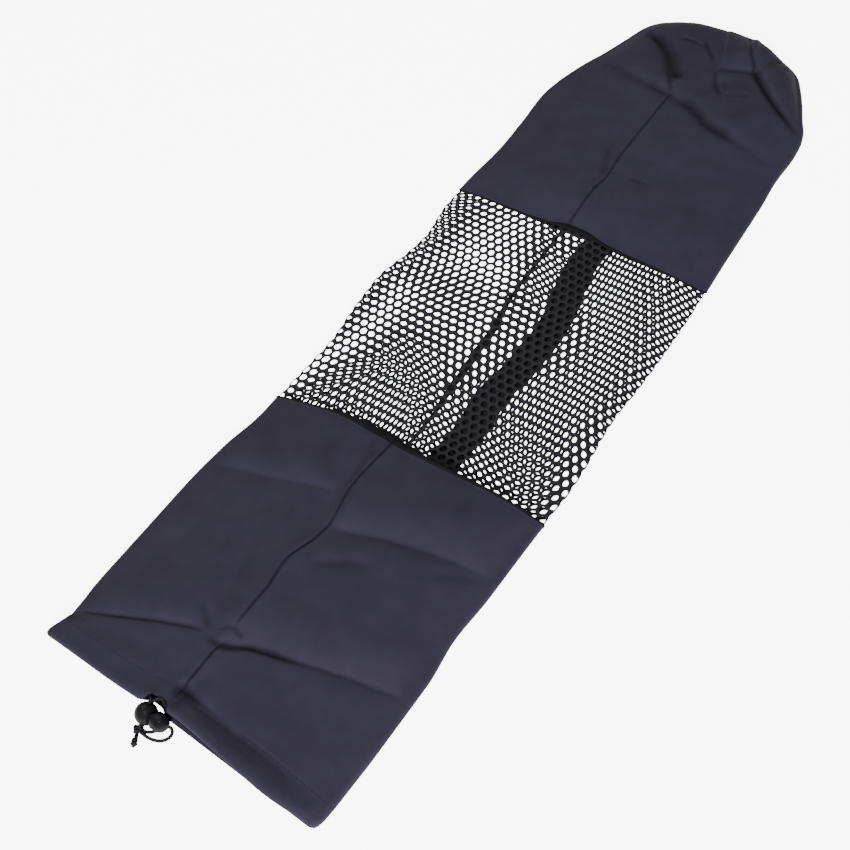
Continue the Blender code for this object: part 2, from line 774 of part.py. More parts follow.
def drawcord():
    """The cord: from the knot through the lock, round the hem and back."""
    frame = lock_frame()
    material = make_material("cord_braid", (0.014, 0.013, 0.017), 0.7)
    centre = ball_centre()
    floor = CORD_RADIUS * 1.05
    step = (CORD_DIAMETER + CORD_CLEARANCE) / 2
    reach = BALL_RADIUS * 1.04

    def in_lock(side, height):
        return frame @ Vector((0, side * reach, height * step))

    knot = knot_place()

    def at_knot(point):
        return knot + (point - knot).normalized() * (KNOT_RADIUS + CORD_CLEARANCE)

    upper = [at_knot(in_lock(-1, 1)), in_lock(-1, 1), in_lock(1, 1)]
    lower = [in_lock(1, -1), in_lock(-1, -1)]
    lower += [Vector((centre.x + point.x, centre.y + point.along, floor + point.lift))
              for point in LOOP_POINTS]
    lower.append(at_knot(lower[-1]))
    round_hem = [Vector((p.x, p.y - CENTRE, p.z))
                 for p in hem_ring(CORD_IN_HEM, HEM_THICKNESS / 2)]
    right_way = round_hem[GAP_LAST:] + round_hem[:GAP_FIRST + 1]
    entry_right = [
        right_way[0],
        right_way[0] + Vector((-0.0035, -0.0006, 0.0001)),
        in_lock(1, -1) + Vector((0.0042, 0.0050, 0.0012)),
        in_lock(1, -1) + Vector((0.0006, 0.0016, 0.0009)),
    ]
    entry_left = [
        right_way[-1],
        right_way[-1] + Vector((0.0030, -0.0012, 0.0005)),
        in_lock(1, 1) + Vector((-0.0006, 0.0024, 0.0010)),
    ]
    loop_end = smooth_points(list(reversed(lower))[:-1], LOOP_STEP)
    out_right = smooth_points(list(reversed(entry_right)), CORD_STEP)
    out_left = smooth_points(entry_left, CORD_STEP)
    points = loop_end + [in_lock(1, -1)] + out_right + right_way[1:] + out_left[1:]
    points += list(reversed(upper))
    cord_tube("drawcord", points, material)

    def bead(bm):
        bmesh.ops.create_icosphere(bm, subdivisions=2, radius=KNOT_RADIUS)

    body = new_object("cord_knot", bead, material)
    body.location = knot
    tail_direction = Vector(TAIL_DIRECTION).normalized()
    start = knot + Vector((0, 0, floor - KNOT_RADIUS)) + tail_direction * (
        math.sqrt(KNOT_RADIUS ** 2 - (KNOT_RADIUS - floor) ** 2) + CORD_RADIUS * 0.75)
    finish = start + tail_direction * TAIL_LENGTH
    cord_tube("cord_tail", [start, (start + finish) / 2, finish], material)

    def tip(bm):
        profile = [(0, 0)]
        for index in range(1, 8):
            turn = math.pi * index / 8
            profile.append((TIP_LENGTH * (1 - math.cos(turn)) / 2, TIP_RADIUS * math.sin(turn) ** 0.7))
        profile.append((TIP_LENGTH, 0))
        turned(bm, profile, 12)

    end = new_object("cord_tip", tip, material)
    end.matrix_world = (Matrix.Translation(finish + tail_direction * CORD_CLEARANCE
                                           + Vector((0, 0, TIP_RADIUS - floor)))
                        @ Matrix.Rotation(math.atan2(tail_direction.y, tail_direction.x), 4, "Z"))


def make_material(name, colour, roughness, metallic=0.0):
    material = bpy.data.materials.get(name)
    if material is None:
        material = bpy.data.materials.new(name)
        material.use_nodes = True
    shader = material.node_tree.nodes["Principled BSDF"]
    shader.inputs["Base Color"].default_value = (*colour, 1)
    shader.inputs["Roughness"].default_value = roughness
    shader.inputs["Metallic"].default_value = metallic
    return material


def main():
    for item in list(bpy.data.objects):
        bpy.data.objects.remove(item, do_unlink=True)
    nylon = make_material("nylon", (0.036, 0.034, 0.050), 0.6)
    mesh_net = make_material("net_cloth", (0.020, 0.018, 0.024), 0.7)
    webbing = make_material("webbing", (0.012, 0.011, 0.014), 0.8)
    new_object("mouth_section", mouth_section, nylon)
    new_object("net_section", net_section, mesh_net, smooth=False)
    new_object("base_section", base_section, nylon)
    new_object("base_disc", base_disc, nylon)
    new_object("strap", strap, webbing, smooth=False)
    cord_lock()
    drawcord()


main()
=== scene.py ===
import math

import bpy
import numpy as np
from mathutils import Matrix, Vector


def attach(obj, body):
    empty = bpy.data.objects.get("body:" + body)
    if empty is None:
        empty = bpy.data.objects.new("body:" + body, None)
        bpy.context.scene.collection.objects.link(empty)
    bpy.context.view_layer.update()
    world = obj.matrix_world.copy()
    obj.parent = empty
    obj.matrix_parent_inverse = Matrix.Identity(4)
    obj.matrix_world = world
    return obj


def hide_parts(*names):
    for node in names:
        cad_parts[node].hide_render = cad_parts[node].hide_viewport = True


# Looks of a drawstring yoga mat bag, empty and lying flat.
# Shapes are worked out in millimetres: x across the bag, along from the mouth
# to the round end, z up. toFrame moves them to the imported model's metres.

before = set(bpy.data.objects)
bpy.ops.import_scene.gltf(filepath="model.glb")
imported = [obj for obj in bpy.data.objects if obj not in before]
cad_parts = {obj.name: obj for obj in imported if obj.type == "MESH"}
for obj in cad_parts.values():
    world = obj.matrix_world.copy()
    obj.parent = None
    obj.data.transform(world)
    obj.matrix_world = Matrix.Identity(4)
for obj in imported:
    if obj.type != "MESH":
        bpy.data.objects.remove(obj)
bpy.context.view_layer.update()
bagMiddle = 394.4  # how far along the bag the frame's origin lies


def toFrame(points):
    # x, along and z in millimetres become x, y and z in metres
    return (np.asarray(points, float) - (0, bagMiddle, 0)) * 0.001


# Camera

cameraView = {
    "azimuth": 44.968,
    "elevation": 52.627,
    "roll": -11.85,
    "distance": 0.9744,
    "lens": 54.1,
    "aim": (-0.002, -0.1048, 0.0),
}


def placeCamera(view):
    azimuth = math.radians(view["azimuth"])
    elevation = math.radians(view["elevation"])
    roll = math.radians(view["roll"])
    back = Vector((math.sin(azimuth) * math.cos(elevation),
                   -math.cos(azimuth) * math.cos(elevation), math.sin(elevation)))
    level = Vector((math.cos(azimuth), math.sin(azimuth), 0))
    rise = back.cross(level)
    right = level * math.cos(roll) + rise * math.sin(roll)
    up = rise * math.cos(roll) - level * math.sin(roll)
    lens = bpy.data.cameras.new("camera")
    lens.sensor_width = 36
    lens.lens = view["lens"]
    lens.clip_start = 0.01
    lens.clip_end = 50
    camera = bpy.data.objects.new("camera", lens)
    bpy.context.scene.collection.objects.link(camera)
    place = Matrix((right, up, back)).transposed().to_4x4()
    place.translation = Vector(view["aim"]) + back * view["distance"]
    camera.matrix_world = place
    bpy.context.scene.camera = camera


placeCamera(cameraView)
print("camera placed")


# Curves through tables

def slopesOf(knots, values):
    # the slope at a knot is the weighted harmonic mean of the slopes on its two
    # sides, and 0 where they have different signs, so the curve never overshoots
    steps = np.diff(knots)
    rises = np.diff(values, axis=-1) / steps
    before = rises[..., :-1]
    after = rises[..., 1:]
    heavy = 2 * steps[1:] + steps[:-1]
    light = steps[1:] + 2 * steps[:-1]
    agree = before * after > 0
    safeBefore = np.where(agree, before, 1.0)
    safeAfter = np.where(agree, after, 1.0)
    inner = np.where(agree, (heavy + light) / (heavy / safeBefore + light / safeAfter), 0.0)
    return np.concatenate([rises[..., :1], inner, rises[..., -1:]], axis=-1)


def smoothCurve(at, knots, values):
    # a cubic between each two knots: values is one row, or one row for each at
    knots = np.asarray(knots, float)
    values = np.asarray(values, float)
    slopes = slopesOf(knots, values)
    index = np.clip(np.searchsorted(knots, at, side="right") - 1, 0, len(knots) - 2)
    gap = knots[index + 1] - knots[index]
    t = np.clip((at - knots[index]) / gap, 0, 1)

    def pick(table, offset):
        if table.ndim == 1:
            return table[index + offset]
        return np.take_along_axis(table, (index + offset)[..., None], -1)[..., 0]

    return ((2 * t**3 - 3 * t**2 + 1) * pick(values, 0)
            + (t**3 - 2 * t**2 + t) * pick(slopes, 0) * gap
            + (3 * t**2 - 2 * t**3) * pick(values, 1)
            + (t**3 - t**2) * pick(slopes, 1) * gap)


def readTable(table, at, column=1):
    # the value in that column, at a place in the first column
    return smoothCurve(at, table[:, 0], table[:, column])


def mix(low, high, share):
    return low + (high - low) * share


def easeStep(value):
    # 0 below 0, 1 above 1, and smooth between
    value = np.clip(value, 0, 1)
    return value * value * (3 - 2 * value)


# The bag's outline, its seam and the strap, as (along, ...) rows

outline = np.array([
    # along, left edge, right edge
    (-4.0, -128.4, 121.5),
    (6.0, -126.2, 124.3),
    (22.0, -122.0, 125.2),
    (34.0, -122.6, 125.5),
    (52.4, -124.2, 126.0),
    (112.7, -124.8, 126.0),
    (152.0, -125.2, 122.5),
    (191.3, -123.2, 124.6),
    (233.2, -117.7, 125.0),
    (262.0, -117.7, 125.6),
    (288.0, -117.0, 126.8),
    (312.5, -116.2, 125.6),
    (352.9, -121.2, 121.4),
    (370.0, -123.0, 120.6),
    (393.4, -124.6, 121.8),
    (431.2, -118.7, 122.2),
    (451.5, -117.2, 121.6),
    (472.0, -120.8, 121.2),
    (491.9, -123.6, 119.8),
    (514.6, -123.6, 118.6),
    (571.6, -120.5, 115.6),
    (612.5, -122.5, 113.5),
    (651.7, -125.5, 110.5),
    (673.0, -123.0, 111.0),
    (692.6, -118.0, 109.5),
    (706.8, -113.5, 106.0),
    (724.3, -106.5, 97.0),
    (745.1, -99.5, 86.5),
    (761.5, -94.5, 77.0),
    (772.5, -91.0, 69.5),
    (783.4, -85.0, 55.0),
    (793.2, -75.0, 35.5),
    (797.6, -67.0, 20.0),
    (802.0, -57.0, 0.0),
    (806.0, -44.0, -10.0),
])

seamLine = np.array([
    # along, x of the lengthwise seam
    (0.0, -11.8),
    (19.6, -10.6),
    (59.6, -9.6),
    (79.6, -7.6),
    (109.6, -7.6),
    (134.6, -11.2),
    (159.6, -4.8),
    (174.6, -3.0),
    (209.6, -8.6),
    (254.6, -6.6),
    (516.5, -14.5),
    (561.5, -15.5),
    (576.5, -13.5),
    (611.5, -16.5),
    (693.0, -16.0),
    (802.0, -20.0),
])

strapShape = {
    "start": 24.0,
    "length": 622.32,
    "width": 26.0,
    "thick": 1.4,
    "stations": 260,
    "halfBag": 120.0,
    "rise": 1.7,
    "slope": 5.0,
    "line": np.array([
        # share of the strap's length, x as a share of half the bag's width
        (0.00, 0.10),
        (0.13, 0.17),
        (0.27, 0.235),
        (0.38, 0.252),
        (0.44, 0.260),
        (0.475, 0.245),
        (0.51, 0.230),
        (0.56, 0.262),
        (0.61, 0.265),
        (0.66, 0.237),
        (0.72, 0.155),
        (0.76, 0.130),
        (0.83, 0.133),
        (0.91, 0.170),
        (1.00, 0.21),
    ]),
}


def strapX(along):
    share = np.clip((along - strapShape["start"]) / strapShape["length"], 0, 1)
    return strapShape["halfBag"] * readTable(strapShape["line"], share)


def strapLift(x, along):
    # the cloth under the bag rises over the strap and falls again beside it
    away = np.abs(x - strapX(along)) - strapShape["width"] / 2 - 1.0
    over = 1 - easeStep(away / strapShape["slope"])
    first = easeStep((along - strapShape["start"] + 8) / 6)
    last = 1 - easeStep((along - strapShape["start"] - strapShape["length"] - 2) / 6)
    return strapShape["rise"] * over * first * last


# Creases, dents and ripples of the cloth on top

plainCrease = {"valley": 0, "wide": 1, "above": (0, 1, 1), "below": (0, 1, 1), "dark": 0}

creases = [
    # a crease is a line of (x, along). above, its side towards the round end, and below
    # are (height, distance to rise in, distance to sink over). valley and wide are the
    # depth and width of the line itself, dark is the painted shade in its valley, and fade
    # is the share of it that dies out at each end. What a crease leaves out is as in plainCrease
    {"line": ((-126, 24), (-90, 38), (-60, 51), (-36, 60), (-24, 63)),
     "valley": 0.7, "wide": 1.8, "above": (4.0, 13, 40), "below": (0.5, 5, 30), "fade": 0.12, "dark": 0.35},
    {"line": ((-20, 58.5), (10.4, 69.6), (40.4, 78), (80.4, 88), (104, 93), (128, 98)),
     "valley": 0.5, "wide": 2.2, "above": (9.0, 27, 60), "below": (0.6, 8, 40), "fade": 0.12, "dark": 0.10},
    {"line": ((-28, 61), (-20, 60.5), (-9.6, 58.8), (0, 62.5), (10.4, 69.6),
              (24, 73.5), (40.4, 76.6), (56, 81)),
     "valley": 0.6, "wide": 2.4, "fade": 0.30, "dark": 0.75},
    {"line": ((-46, 80), (-34, 74), (-22, 65)),
     "valley": 0.8, "wide": 2.4, "above": (0.6, 4, 14), "fade": 0.3, "dark": 0.3},
    {"line": ((-19, 67), (-13, 72), (-7, 74), (0, 72.5), (5, 69)),
     "valley": 0.5, "wide": 1.6, "above": (0.3, 2, 8), "fade": 0.3, "dark": 0.5},
    {"line": ((-128, 172), (-100, 178), (-70, 185), (-40, 194), (-12, 201)),
     "above": (5.6, 15, 40), "below": (0.9, 12, 30), "fade": 0.16},
    {"line": ((-6, 172), (14, 177), (40, 186), (70, 193), (100, 198), (128, 202)),
     "valley": 0.25, "wide": 4, "above": (9.5, 26, 60), "below": (1.4, 16, 36), "fade": 0.10, "dark": 0.05},
    {"line": ((2, 139), (14, 148), (30, 158), (50, 166)),
     "valley": 0.6, "wide": 4.0, "above": (0.5, 6, 22), "fade": 0.3, "dark": 0.12},
    {"line": ((84, 180), (104, 192), (128, 202)),
     "valley": 0.8, "wide": 4.5, "above": (0.6, 6, 20), "fade": 0.3, "dark": 0.12},
    {"line": ((-118, 243), (-104, 228), (-80, 205), (-62, 194)),
     "valley": 0.9, "wide": 8, "above": (0.7, 9, 26), "fade": 0.25, "dark": 0.08},
    {"line": ((-54, 246), (-42, 230), (-30, 214), (-22, 208)),
     "valley": 0.8, "wide": 6, "above": (0.5, 7, 18), "fade": 0.25, "dark": 0.08},
    {"line": ((-16, 26), (2, 21), (20, 17.5), (45, 15), (70, 12.5), (95, 10), (118, 8)),
     "valley": 1.5, "wide": 3.0, "above": (0.6, 5, 20), "below": (0.7, 4, 14), "fade": 0.06, "dark": 0.50},
    {"line": ((-17, 18), (-10, 20), (-2, 20.5)),
     "valley": 1.0, "wide": 3.6, "above": (0.3, 4, 12), "fade": 0.3, "dark": 0.75},
    # the round end: a wide fold on the left, another on the right and small ones between
    {"line": ((-80, 770), (-60, 756), (-44, 742), (-30, 724), (-15, 710)),
     "valley": 4.4, "wide": 7.2, "above": (0.8, 5, 18), "below": (0.8, 6, 20), "fade": 0.16, "dark": 0.80},
    {"line": ((-34, 724), (-25, 709), (-16, 694)),
     "valley": 1.3, "wide": 2.0, "above": (0.3, 3, 10), "fade": 0.2, "dark": 0.5},
    {"line": ((-26, 776), (-18, 766), (-8, 755), (-2, 745)),
     "valley": 1.4, "wide": 2.2, "above": (0.4, 4, 14), "fade": 0.25, "dark": 0.5},
    {"line": ((9, 796), (17, 781), (26, 766), (38, 751)),
     "valley": 1.4, "wide": 2.0, "above": (3.6, 10, 34), "below": (0.5, 5, 20), "fade": 0.12, "dark": 0.55},
    {"line": ((34, 755), (44, 744), (61, 729), (76, 718), (91, 709), (112, 696)),
     "valley": 3.6, "wide": 3.4, "below": (0.5, 7, 24), "fade": 0.05, "dark": 0.95},
    {"line": ((34, 754), (74, 722), (114, 691)),
     "above": (7.0, 19, 50), "fade": 0.08},
    {"line": ((5, 738), (21, 743.5), (38, 749)),
     "valley": 0.9, "wide": 1.8, "above": (6.2, 18, 44), "fade": 0.15, "dark": 0.45},
    {"line": ((5, 739), (9, 730), (14, 721), (20, 713), (27, 706)),
     "valley": 1.2, "wide": 1.8, "above": (0.5, 3, 12), "below": (1.0, 5, 14), "fade": 0.15, "dark": 0.55},
    {"line": ((28, 708), (36, 713), (50, 719)),
     "valley": 0.7, "wide": 2.0, "above": (0.3, 3, 10), "fade": 0.3, "dark": 0.3},
    {"line": ((-48, 764), (-38, 767), (-26, 765), (-19, 762)),
     "valley": 0.9, "wide": 2.2, "above": (0.3, 3, 8), "below": (0.3, 3, 8), "fade": 0.3, "dark": 0.35},
    # the seam round the end, drawn down between the two cloths
    {"line": ((-104, 712), (-74, 705), (-39, 695), (-16, 692), (16, 682), (31, 672),
              (61, 664), (86, 660), (111, 652)),
     "valley": 0.9, "wide": 6.0, "above": (0.8, 8, 26), "fade": 0.22, "dark": 0.22},
    {"line": ((-14, 692), (4, 688), (16, 682), (31, 672), (50, 667), (68, 662)),
     "valley": 1.2, "wide": 5.0, "above": (1.6, 7, 22), "fade": 0.22, "dark": 0.70},
    {"line": ((-44, 700), (-30, 695), (-16, 692)),
     "valley": 0.8, "wide": 3.6, "above": (0.3, 4, 14), "fade": 0.3, "dark": 0.5},
    # the base: a dark crease beside the seam and a small pucker
    {"line": ((-34, 620), (-27, 604), (-20, 586), (-15, 574)),
     "valley": 0.7, "wide": 3.2, "above": (0.3, 4, 16), "fade": 0.3, "dark": 0.25},
    {"line": ((3, 584), (14, 586), (26, 585)),
     "valley": 0.5, "wide": 1.8, "above": (0.5, 4, 14), "fade": 0.35, "dark": 0.25},
    {"line": ((-122, 664), (-80, 652), (-40, 640)),
     "above": (0.9, 16, 40), "fade": 0.3},
    {"line": ((20, 600), (60, 612), (112, 622)),
     "below": (0.9, 18, 40), "fade": 0.3},
    {"line": ((-116, 528), (-60, 548), (-20, 560)),
     "above": (0.9, 14, 36), "fade": 0.3},
]

dents = np.array([
    # x, along, half length, half width, turn in degrees, depth
    (12, 105, 26, 12, 100, 0.9),
    (-42, 87, 30, 10, -20, -0.8),
    (-90, 100, 40, 26, 60, 1.0),
    (-100, 160, 30, 20, 20, 0.6),
    (80, 130, 44, 22, 24, 0.5),
    (40, 225, 36, 18, 70, 0.5),
    (95, 235, 30, 18, 20, -0.5),
    (-7, 22, 18, 6, 70, 1.3),
    (-8, 12, 12, 5, 40, 0.8),
    (-60, 20, 30, 8, 4, -0.5),
    (-70, 570, 30, 22, 100, 0.9),
    (-45, 630, 34, 16, 100, -0.9),
    (60, 560, 34, 18, 60, 0.6),
    (90, 640, 34, 18, 110, 1.1),
    (20, 640, 30, 24, 20, -0.9),
    (60, 690, 20, 12, 60, -0.9),
    (-60, 725, 20, 14, 120, -1.0),
    (24, 777, 20, 15, 60, -3.6),
    (20, 725, 14, 9, 50, 1.6),
    (-10, 775, 18, 9, 110, 1.2),
    (-55, 785, 14, 10, 30, -0.7),
    (84, 744, 26, 13, 130, -3.0),
])

ripples = np.array([
    # wavelength, direction in degrees, phase, height
    (61, 12, 0.3, 0.16),
    (47, 75, 1.9, 0.14),
    (34, 38, 4.1, 0.09),
    (27, 121, 2.7, 0.07),
    (19, 96, 5.2, 0.045),
    (13, 152, 0.8, 0.03),
])


def besideCrease(distance, side):
    # the cloth rises as height times tanh(distance / near) times exp(-distance / far)
    height, near, far = side
    return height * np.tanh(distance / near) * np.exp(-distance / far)


def creaseShape(x, along, crease):
    # height and painted shade of one crease: the rise on its two sides, less a
    # bell-shaped valley on the line itself, and shade painted along that valley
    crease = {**plainCrease, **crease}
    line = np.array(crease["line"], float)
    steps = np.diff(line, axis=0)
    lengths = np.linalg.norm(steps, axis=1)
    starts = np.concatenate([[0], np.cumsum(lengths)[:-1]])
    offsets = np.stack([x, along], -1)[:, None, :] - line[:-1]
    share = np.clip((offsets * steps).sum(-1) / lengths**2, 0, 1)
    away = offsets - share[..., None] * steps
    distance = np.linalg.norm(away, axis=-1)
    nearest = distance.argmin(1)
    pick = np.arange(len(x))
    side = steps[nearest, 0] * away[pick, nearest, 1] - steps[nearest, 1] * away[pick, nearest, 0]
    distance = distance[pick, nearest]
    run = (starts[nearest] + share[pick, nearest] * lengths[nearest]) / lengths.sum()
    fade = easeStep(np.minimum(run, 1 - run) / crease["fade"])
    bell = np.exp(-(distance / crease["wide"]) ** 2)
    above = besideCrease(distance, crease["above"])
    below = besideCrease(distance, crease["below"])
    height = np.where(side > 0, above, below) - crease["valley"] * bell
    return height * fade, crease["dark"] * bell * fade


seamSewing = {
    # the seam is a narrow tuck with a low, puckered ridge beside it
    "tuckWidth": 1.1,
    "tuckDepth": 1.25,
    "ridgeWidth": 6.0,
    "ridgeHeight": 0.55,
    "pucker": 0.16,
    # painted shade laid along the seam's tuck
    "dark": 0.62,
    # it is lost under the crease that crosses it, in the hem and past its end
    "crossing": 70,
    "crossingHalf": 11,
    "hem": 11,
    "end": 690,
    "ease": 8,
}


def topRelief(x, along):
    # what the creases, dents, ripples and the lengthwise seam add to the top: height,
    # and the shade painted into their valleys and the seam's tuck
    height = np.zeros(len(x))
    dark = np.zeros(len(x))
    for crease in creases:
        rise, shade = creaseShape(x, along, crease)
        height += rise
        dark = np.maximum(dark, shade)
    for centreX, centreAlong, halfLength, halfWidth, turn, depth in dents:
        cosTurn = math.cos(math.radians(turn))
        sinTurn = math.sin(math.radians(turn))
        lengthways = ((x - centreX) * cosTurn + (along - centreAlong) * sinTurn) / halfLength
        sideways = ((along - centreAlong) * cosTurn - (x - centreX) * sinTurn) / halfWidth
        height -= depth * np.exp(-(lengthways**2 + sideways**2))
    for wavelength, turn, phase, size in ripples:
        turned = x * math.cos(math.radians(turn)) + along * math.sin(math.radians(turn))
        height += size * np.sin(2 * math.pi * turned / wavelength + phase)
    away = x - readTable(seamLine, along)
    sewing = seamSewing
    tuck = np.exp(-(away / sewing["tuckWidth"]) ** 2)
    ridge = np.exp(-(np.abs(away) / sewing["ridgeWidth"]) ** 2)
    pucker = np.sin(along / 2.1 + np.sin(along / 9.0) * 2) * (0.55 + 0.45 * np.sin(along / 17.0))
    sewn = 1 - 0.92 * np.exp(-((along - sewing["crossing"]) / sewing["crossingHalf"]) ** 4)
    pastHem = easeStep((along - sewing["hem"]) / sewing["ease"])
    pastEnd = easeStep((along - sewing["end"]) / sewing["ease"])
    sewn *= pastHem * (1 - pastEnd)
    lift = ridge * (sewing["ridgeHeight"] + sewing["pucker"] * pucker)
    height += sewn * (lift - sewing["tuckDepth"] * tuck)
    # the seam's tuck gets painted shade
    dark = np.maximum(dark, sewing["dark"] * sewn * tuck)
    return height, dark


# The tube of the bag

places = np.array([-120, -90, -60, -30, -12, 0, 30, 60, 90, 120], float)
seamShare = -0.1  # where the seam lies in the stations across, from -1 to 1

mouthCloth = {
    "knots": (0, 0.08, 0.34, 0.76, 1),
    # a row for each knot, and in it how far along the cloth lies at each place
    "along": np.array([
        (0.9, 0.3, -0.4, 0.0, 3.6, 3.4, 1.0, -2.0, -4.2, -3.0),
        (17.0, 17.0, 17.3, 19.3, 20.4, 20.3, 19.6, 19.0, 17.2, 14.9),
        (25.0, 36.5, 49.0, 61.5, 61.0, 65.0, 75.5, 83.0, 91.5, 98.0),
        (174.0, 181.5, 189.0, 196.0, 199.0, 178.0, 184.0, 189.0, 194.0, 197.0),
        (250.0, 254.2, 258.2, 258.0, 256.0, 255.2, 255.7, 256.2, 256.8, 257.2),
    ]),
    # fold, crown on the left, crown on the right, how far the underside is set
    # back on the left and right, height off the ground, and inset at the folds
    "sizes": np.array([
        (9.4, 11.2, 17.6, 4.9, -0.2, 0, 0),
        (8.8, 10.8, 14.6, 5.2, 0, 0, 0),
        (7.0, 12.6, 13.0, 0, 0, 0, 0),
        (7.0, 13.0, 13.0, 0, 0, 0, 0),
        (6.6, 11.6, 11.6, 0, 0, 0, 0),
    ]),
    "relief": 1.0,
    "onSeam": True,
    # round the lock the edge is set back: by how much, at which x and how far to each side
    "setBack": (3.8, -22, 9),
}

netCloth = {
    "knots": (0, 0.5, 1),
    "along": np.array([
        (248.5, 252.7, 256.7, 256.5, 254.5, 253.7, 254.2, 254.7, 255.3, 255.7),
        (383.0, 384.0, 385.0, 385.0, 384.0, 384.0, 384.0, 383.5, 383.0, 382.0),
        (513.0, 513.0, 513.0, 514.0, 518.5, 519.0, 513.0, 511.0, 509.5, 507.5),
    ]),
    "sizes": np.array([
        (4.4, 9.3, 9.3, 0, 0, 1.1, 1.1),
        (5.3, 9.4, 9.4, 0, 0, 0.6, 0.6),
        (3.2, 6.0, 6.0, 7.0, 7.0, 1.1, 1.1),
    ]),
    "relief": 0.0,
    "onSeam": False,
}

baseCloth = {
    "knots": (0, 0.25, 0.5, 0.75, 1),
    "along": np.array([
        (511.0, 511.0, 511.0, 512.0, 516.5, 517.0, 511.0, 509.0, 507.5, 505.5),
        (558.0, 558.0, 558.0, 558.0, 558.0, 557.0, 556.0, 554.0, 552.0, 550.0),
        (608.0, 607.0, 605.0, 603.0, 601.0, 600.0, 597.0, 593.0, 590.0, 587.0),
        (660.0, 657.0, 653.0, 648.0, 646.0, 643.0, 634.0, 628.0, 623.0, 618.0),
        (716.0, 709.0, 701.0, 694.0, 692.5, 688.5, 671.0, 664.0, 659.5, 652.0),
    ]),
    "sizes": np.array([
        (5.4, 8.2, 8.2, 7.0, 7.0, 0, 0),
        (7.0, 13.0, 13.0, 0, 0, 0, 0),
        (7.0, 13.2, 13.2, 0, 0, 0, 0),
        (7.4, 14.8, 14.6, 0, 0, 0, 0),
        (8.1, 17.2, 16.9, 0, 0, 0, 0),
    ]),
    "relief": 1.0,
    "onSeam": True,
}

endCloth = {
    "knots": (0, 0.15, 0.35, 0.55, 0.75, 0.88, 0.96, 1),
    "along": np.array([
        (715.8, 708.8, 700.8, 693.8, 692.3, 688.3, 670.8, 663.8, 659.3, 651.8),
        (727.0, 720.0, 713.0, 707.0, 705.0, 702.0, 687.0, 680.0, 676.0, 670.0),
        (741.0, 737.0, 733.0, 729.0, 727.0, 725.0, 715.0, 710.0, 706.0, 701.0),
        (756.0, 755.0, 753.0, 751.0, 750.0, 749.0, 743.0, 738.0, 734.0, 729.0),
        (773.0, 774.0, 774.0, 774.0, 774.0, 774.0, 770.0, 767.0, 763.0, 758.0),
        (786.6, 789.0, 790.2, 790.7, 791.4, 791.5, 789.1, 785.6, 781.8, 777.4),
        (795.7, 799.4, 801.7, 802.1, 802.5, 802.4, 801.2, 799.1, 794.8, 791.0),
        (799.7, 803.1, 805.5, 805.7, 805.9, 805.6, 804.5, 802.8, 799.3, 796.0),
    ]),
    "sizes": np.array([
        (8.1, 17.2, 16.9, 0, 0, 0, 0),
        (8.4, 18.4, 18.4, 0, 0, 0, 0),
        (8.8, 18.8, 19.0, 0, 0, 0, 0),
        (9.1, 18.4, 18.8, 0, 0, 0, 0),
        (9.3, 16.8, 17.2, 0, 0, 0, 0),
        (8.8, 14.4, 14.6, 0, 0, 0, 0),
        (6.4, 9.6, 9.8, 0, 0, 0, 0),
        (3.0, 4.0, 4.0, 0, 0, 0, 0),
    ]),
    "relief": 1.0,
    "onSeam": True,
}


def tubePoints(cloth, turn, share):
    # turn runs 0 to 1 over the top from left to right, to 2 round the right
    # fold, to 3 back under the bag and to 4 round the left fold. On top
    # z = fold + (crown - fold) * (1 - u^4) + relief, with u from -1 to 1
    turn, share = np.broadcast_arrays(np.asarray(turn, float), np.asarray(share, float))
    shape = turn.shape
    turn = turn.ravel() % 4
    share = share.ravel()
    knots = cloth["knots"]
    rows = np.stack([smoothCurve(share, knots, column) for column in cloth["along"].T], -1)
    fold, crownLeft, crownRight, backLeft, backRight, ground, inset = (
        smoothCurve(share, knots, column) for column in cloth["sizes"].T)
    leftAlong = rows[:, 0]
    rightAlong = rows[:, -1]
    radius = fold / 2
    left = readTable(outline, leftAlong) + inset
    right = readTable(outline, rightAlong, 2) - inset
    part = np.floor(turn).astype(int)
    inPart = turn - part
    u = np.choose(part, (2 * inPart - 1, np.ones_like(turn), 1 - 2 * inPart, -np.ones_like(turn)))
    underLeft = leftAlong + backLeft
    underRight = rightAlong + backRight
    plainX = mix(left + radius, right - radius, (u + 1) / 2)
    setBack, lockX, lockHalf = cloth.get("setBack", (0, 0, 1))
    atLock = np.exp(-((plainX - lockX) / lockHalf) ** 4) * easeStep(1 - share / 0.1) * setBack
    along = np.choose(part, (
        smoothCurve(u * 120, places, rows) + atLock,
        mix(rightAlong, underRight, inPart),
        mix(underLeft, underRight, (u + 1) / 2) + atLock,
        mix(underLeft, leftAlong, inPart)))
    topX = plainX
    if cloth["onSeam"]:
        seam = readTable(seamLine, along)
        topX = np.where(u < seamShare,
                        mix(left + radius, seam, (u + 1) / (seamShare + 1)),
                        mix(seam, right - radius, (u - seamShare) / (1 - seamShare)))
    bend = math.pi * inPart
    x = np.choose(part, (
        topX,
        right - radius + radius * np.sin(bend),
        plainX,
        left + radius - radius * np.sin(bend)))
    relief, dark = topRelief(x, along)
    crown = mix(crownLeft, crownRight, (u + 1) / 2)
    top = fold + (crown - fold) * (1 - u**4) + cloth["relief"] * relief * (1 - u**8)
    z = ground + np.choose(part, (
        top,
        radius + radius * np.cos(bend),
        strapLift(x, along),
        radius - radius * np.cos(bend)))
    # painted shade of the creases and seam, on top only and fading out towards the folds
    dark = np.where(part == 0, dark * (1 - u**8), 0)
    points = np.stack([x, along, z], -1).reshape(*shape, 3)
    return points, dark.reshape(shape)


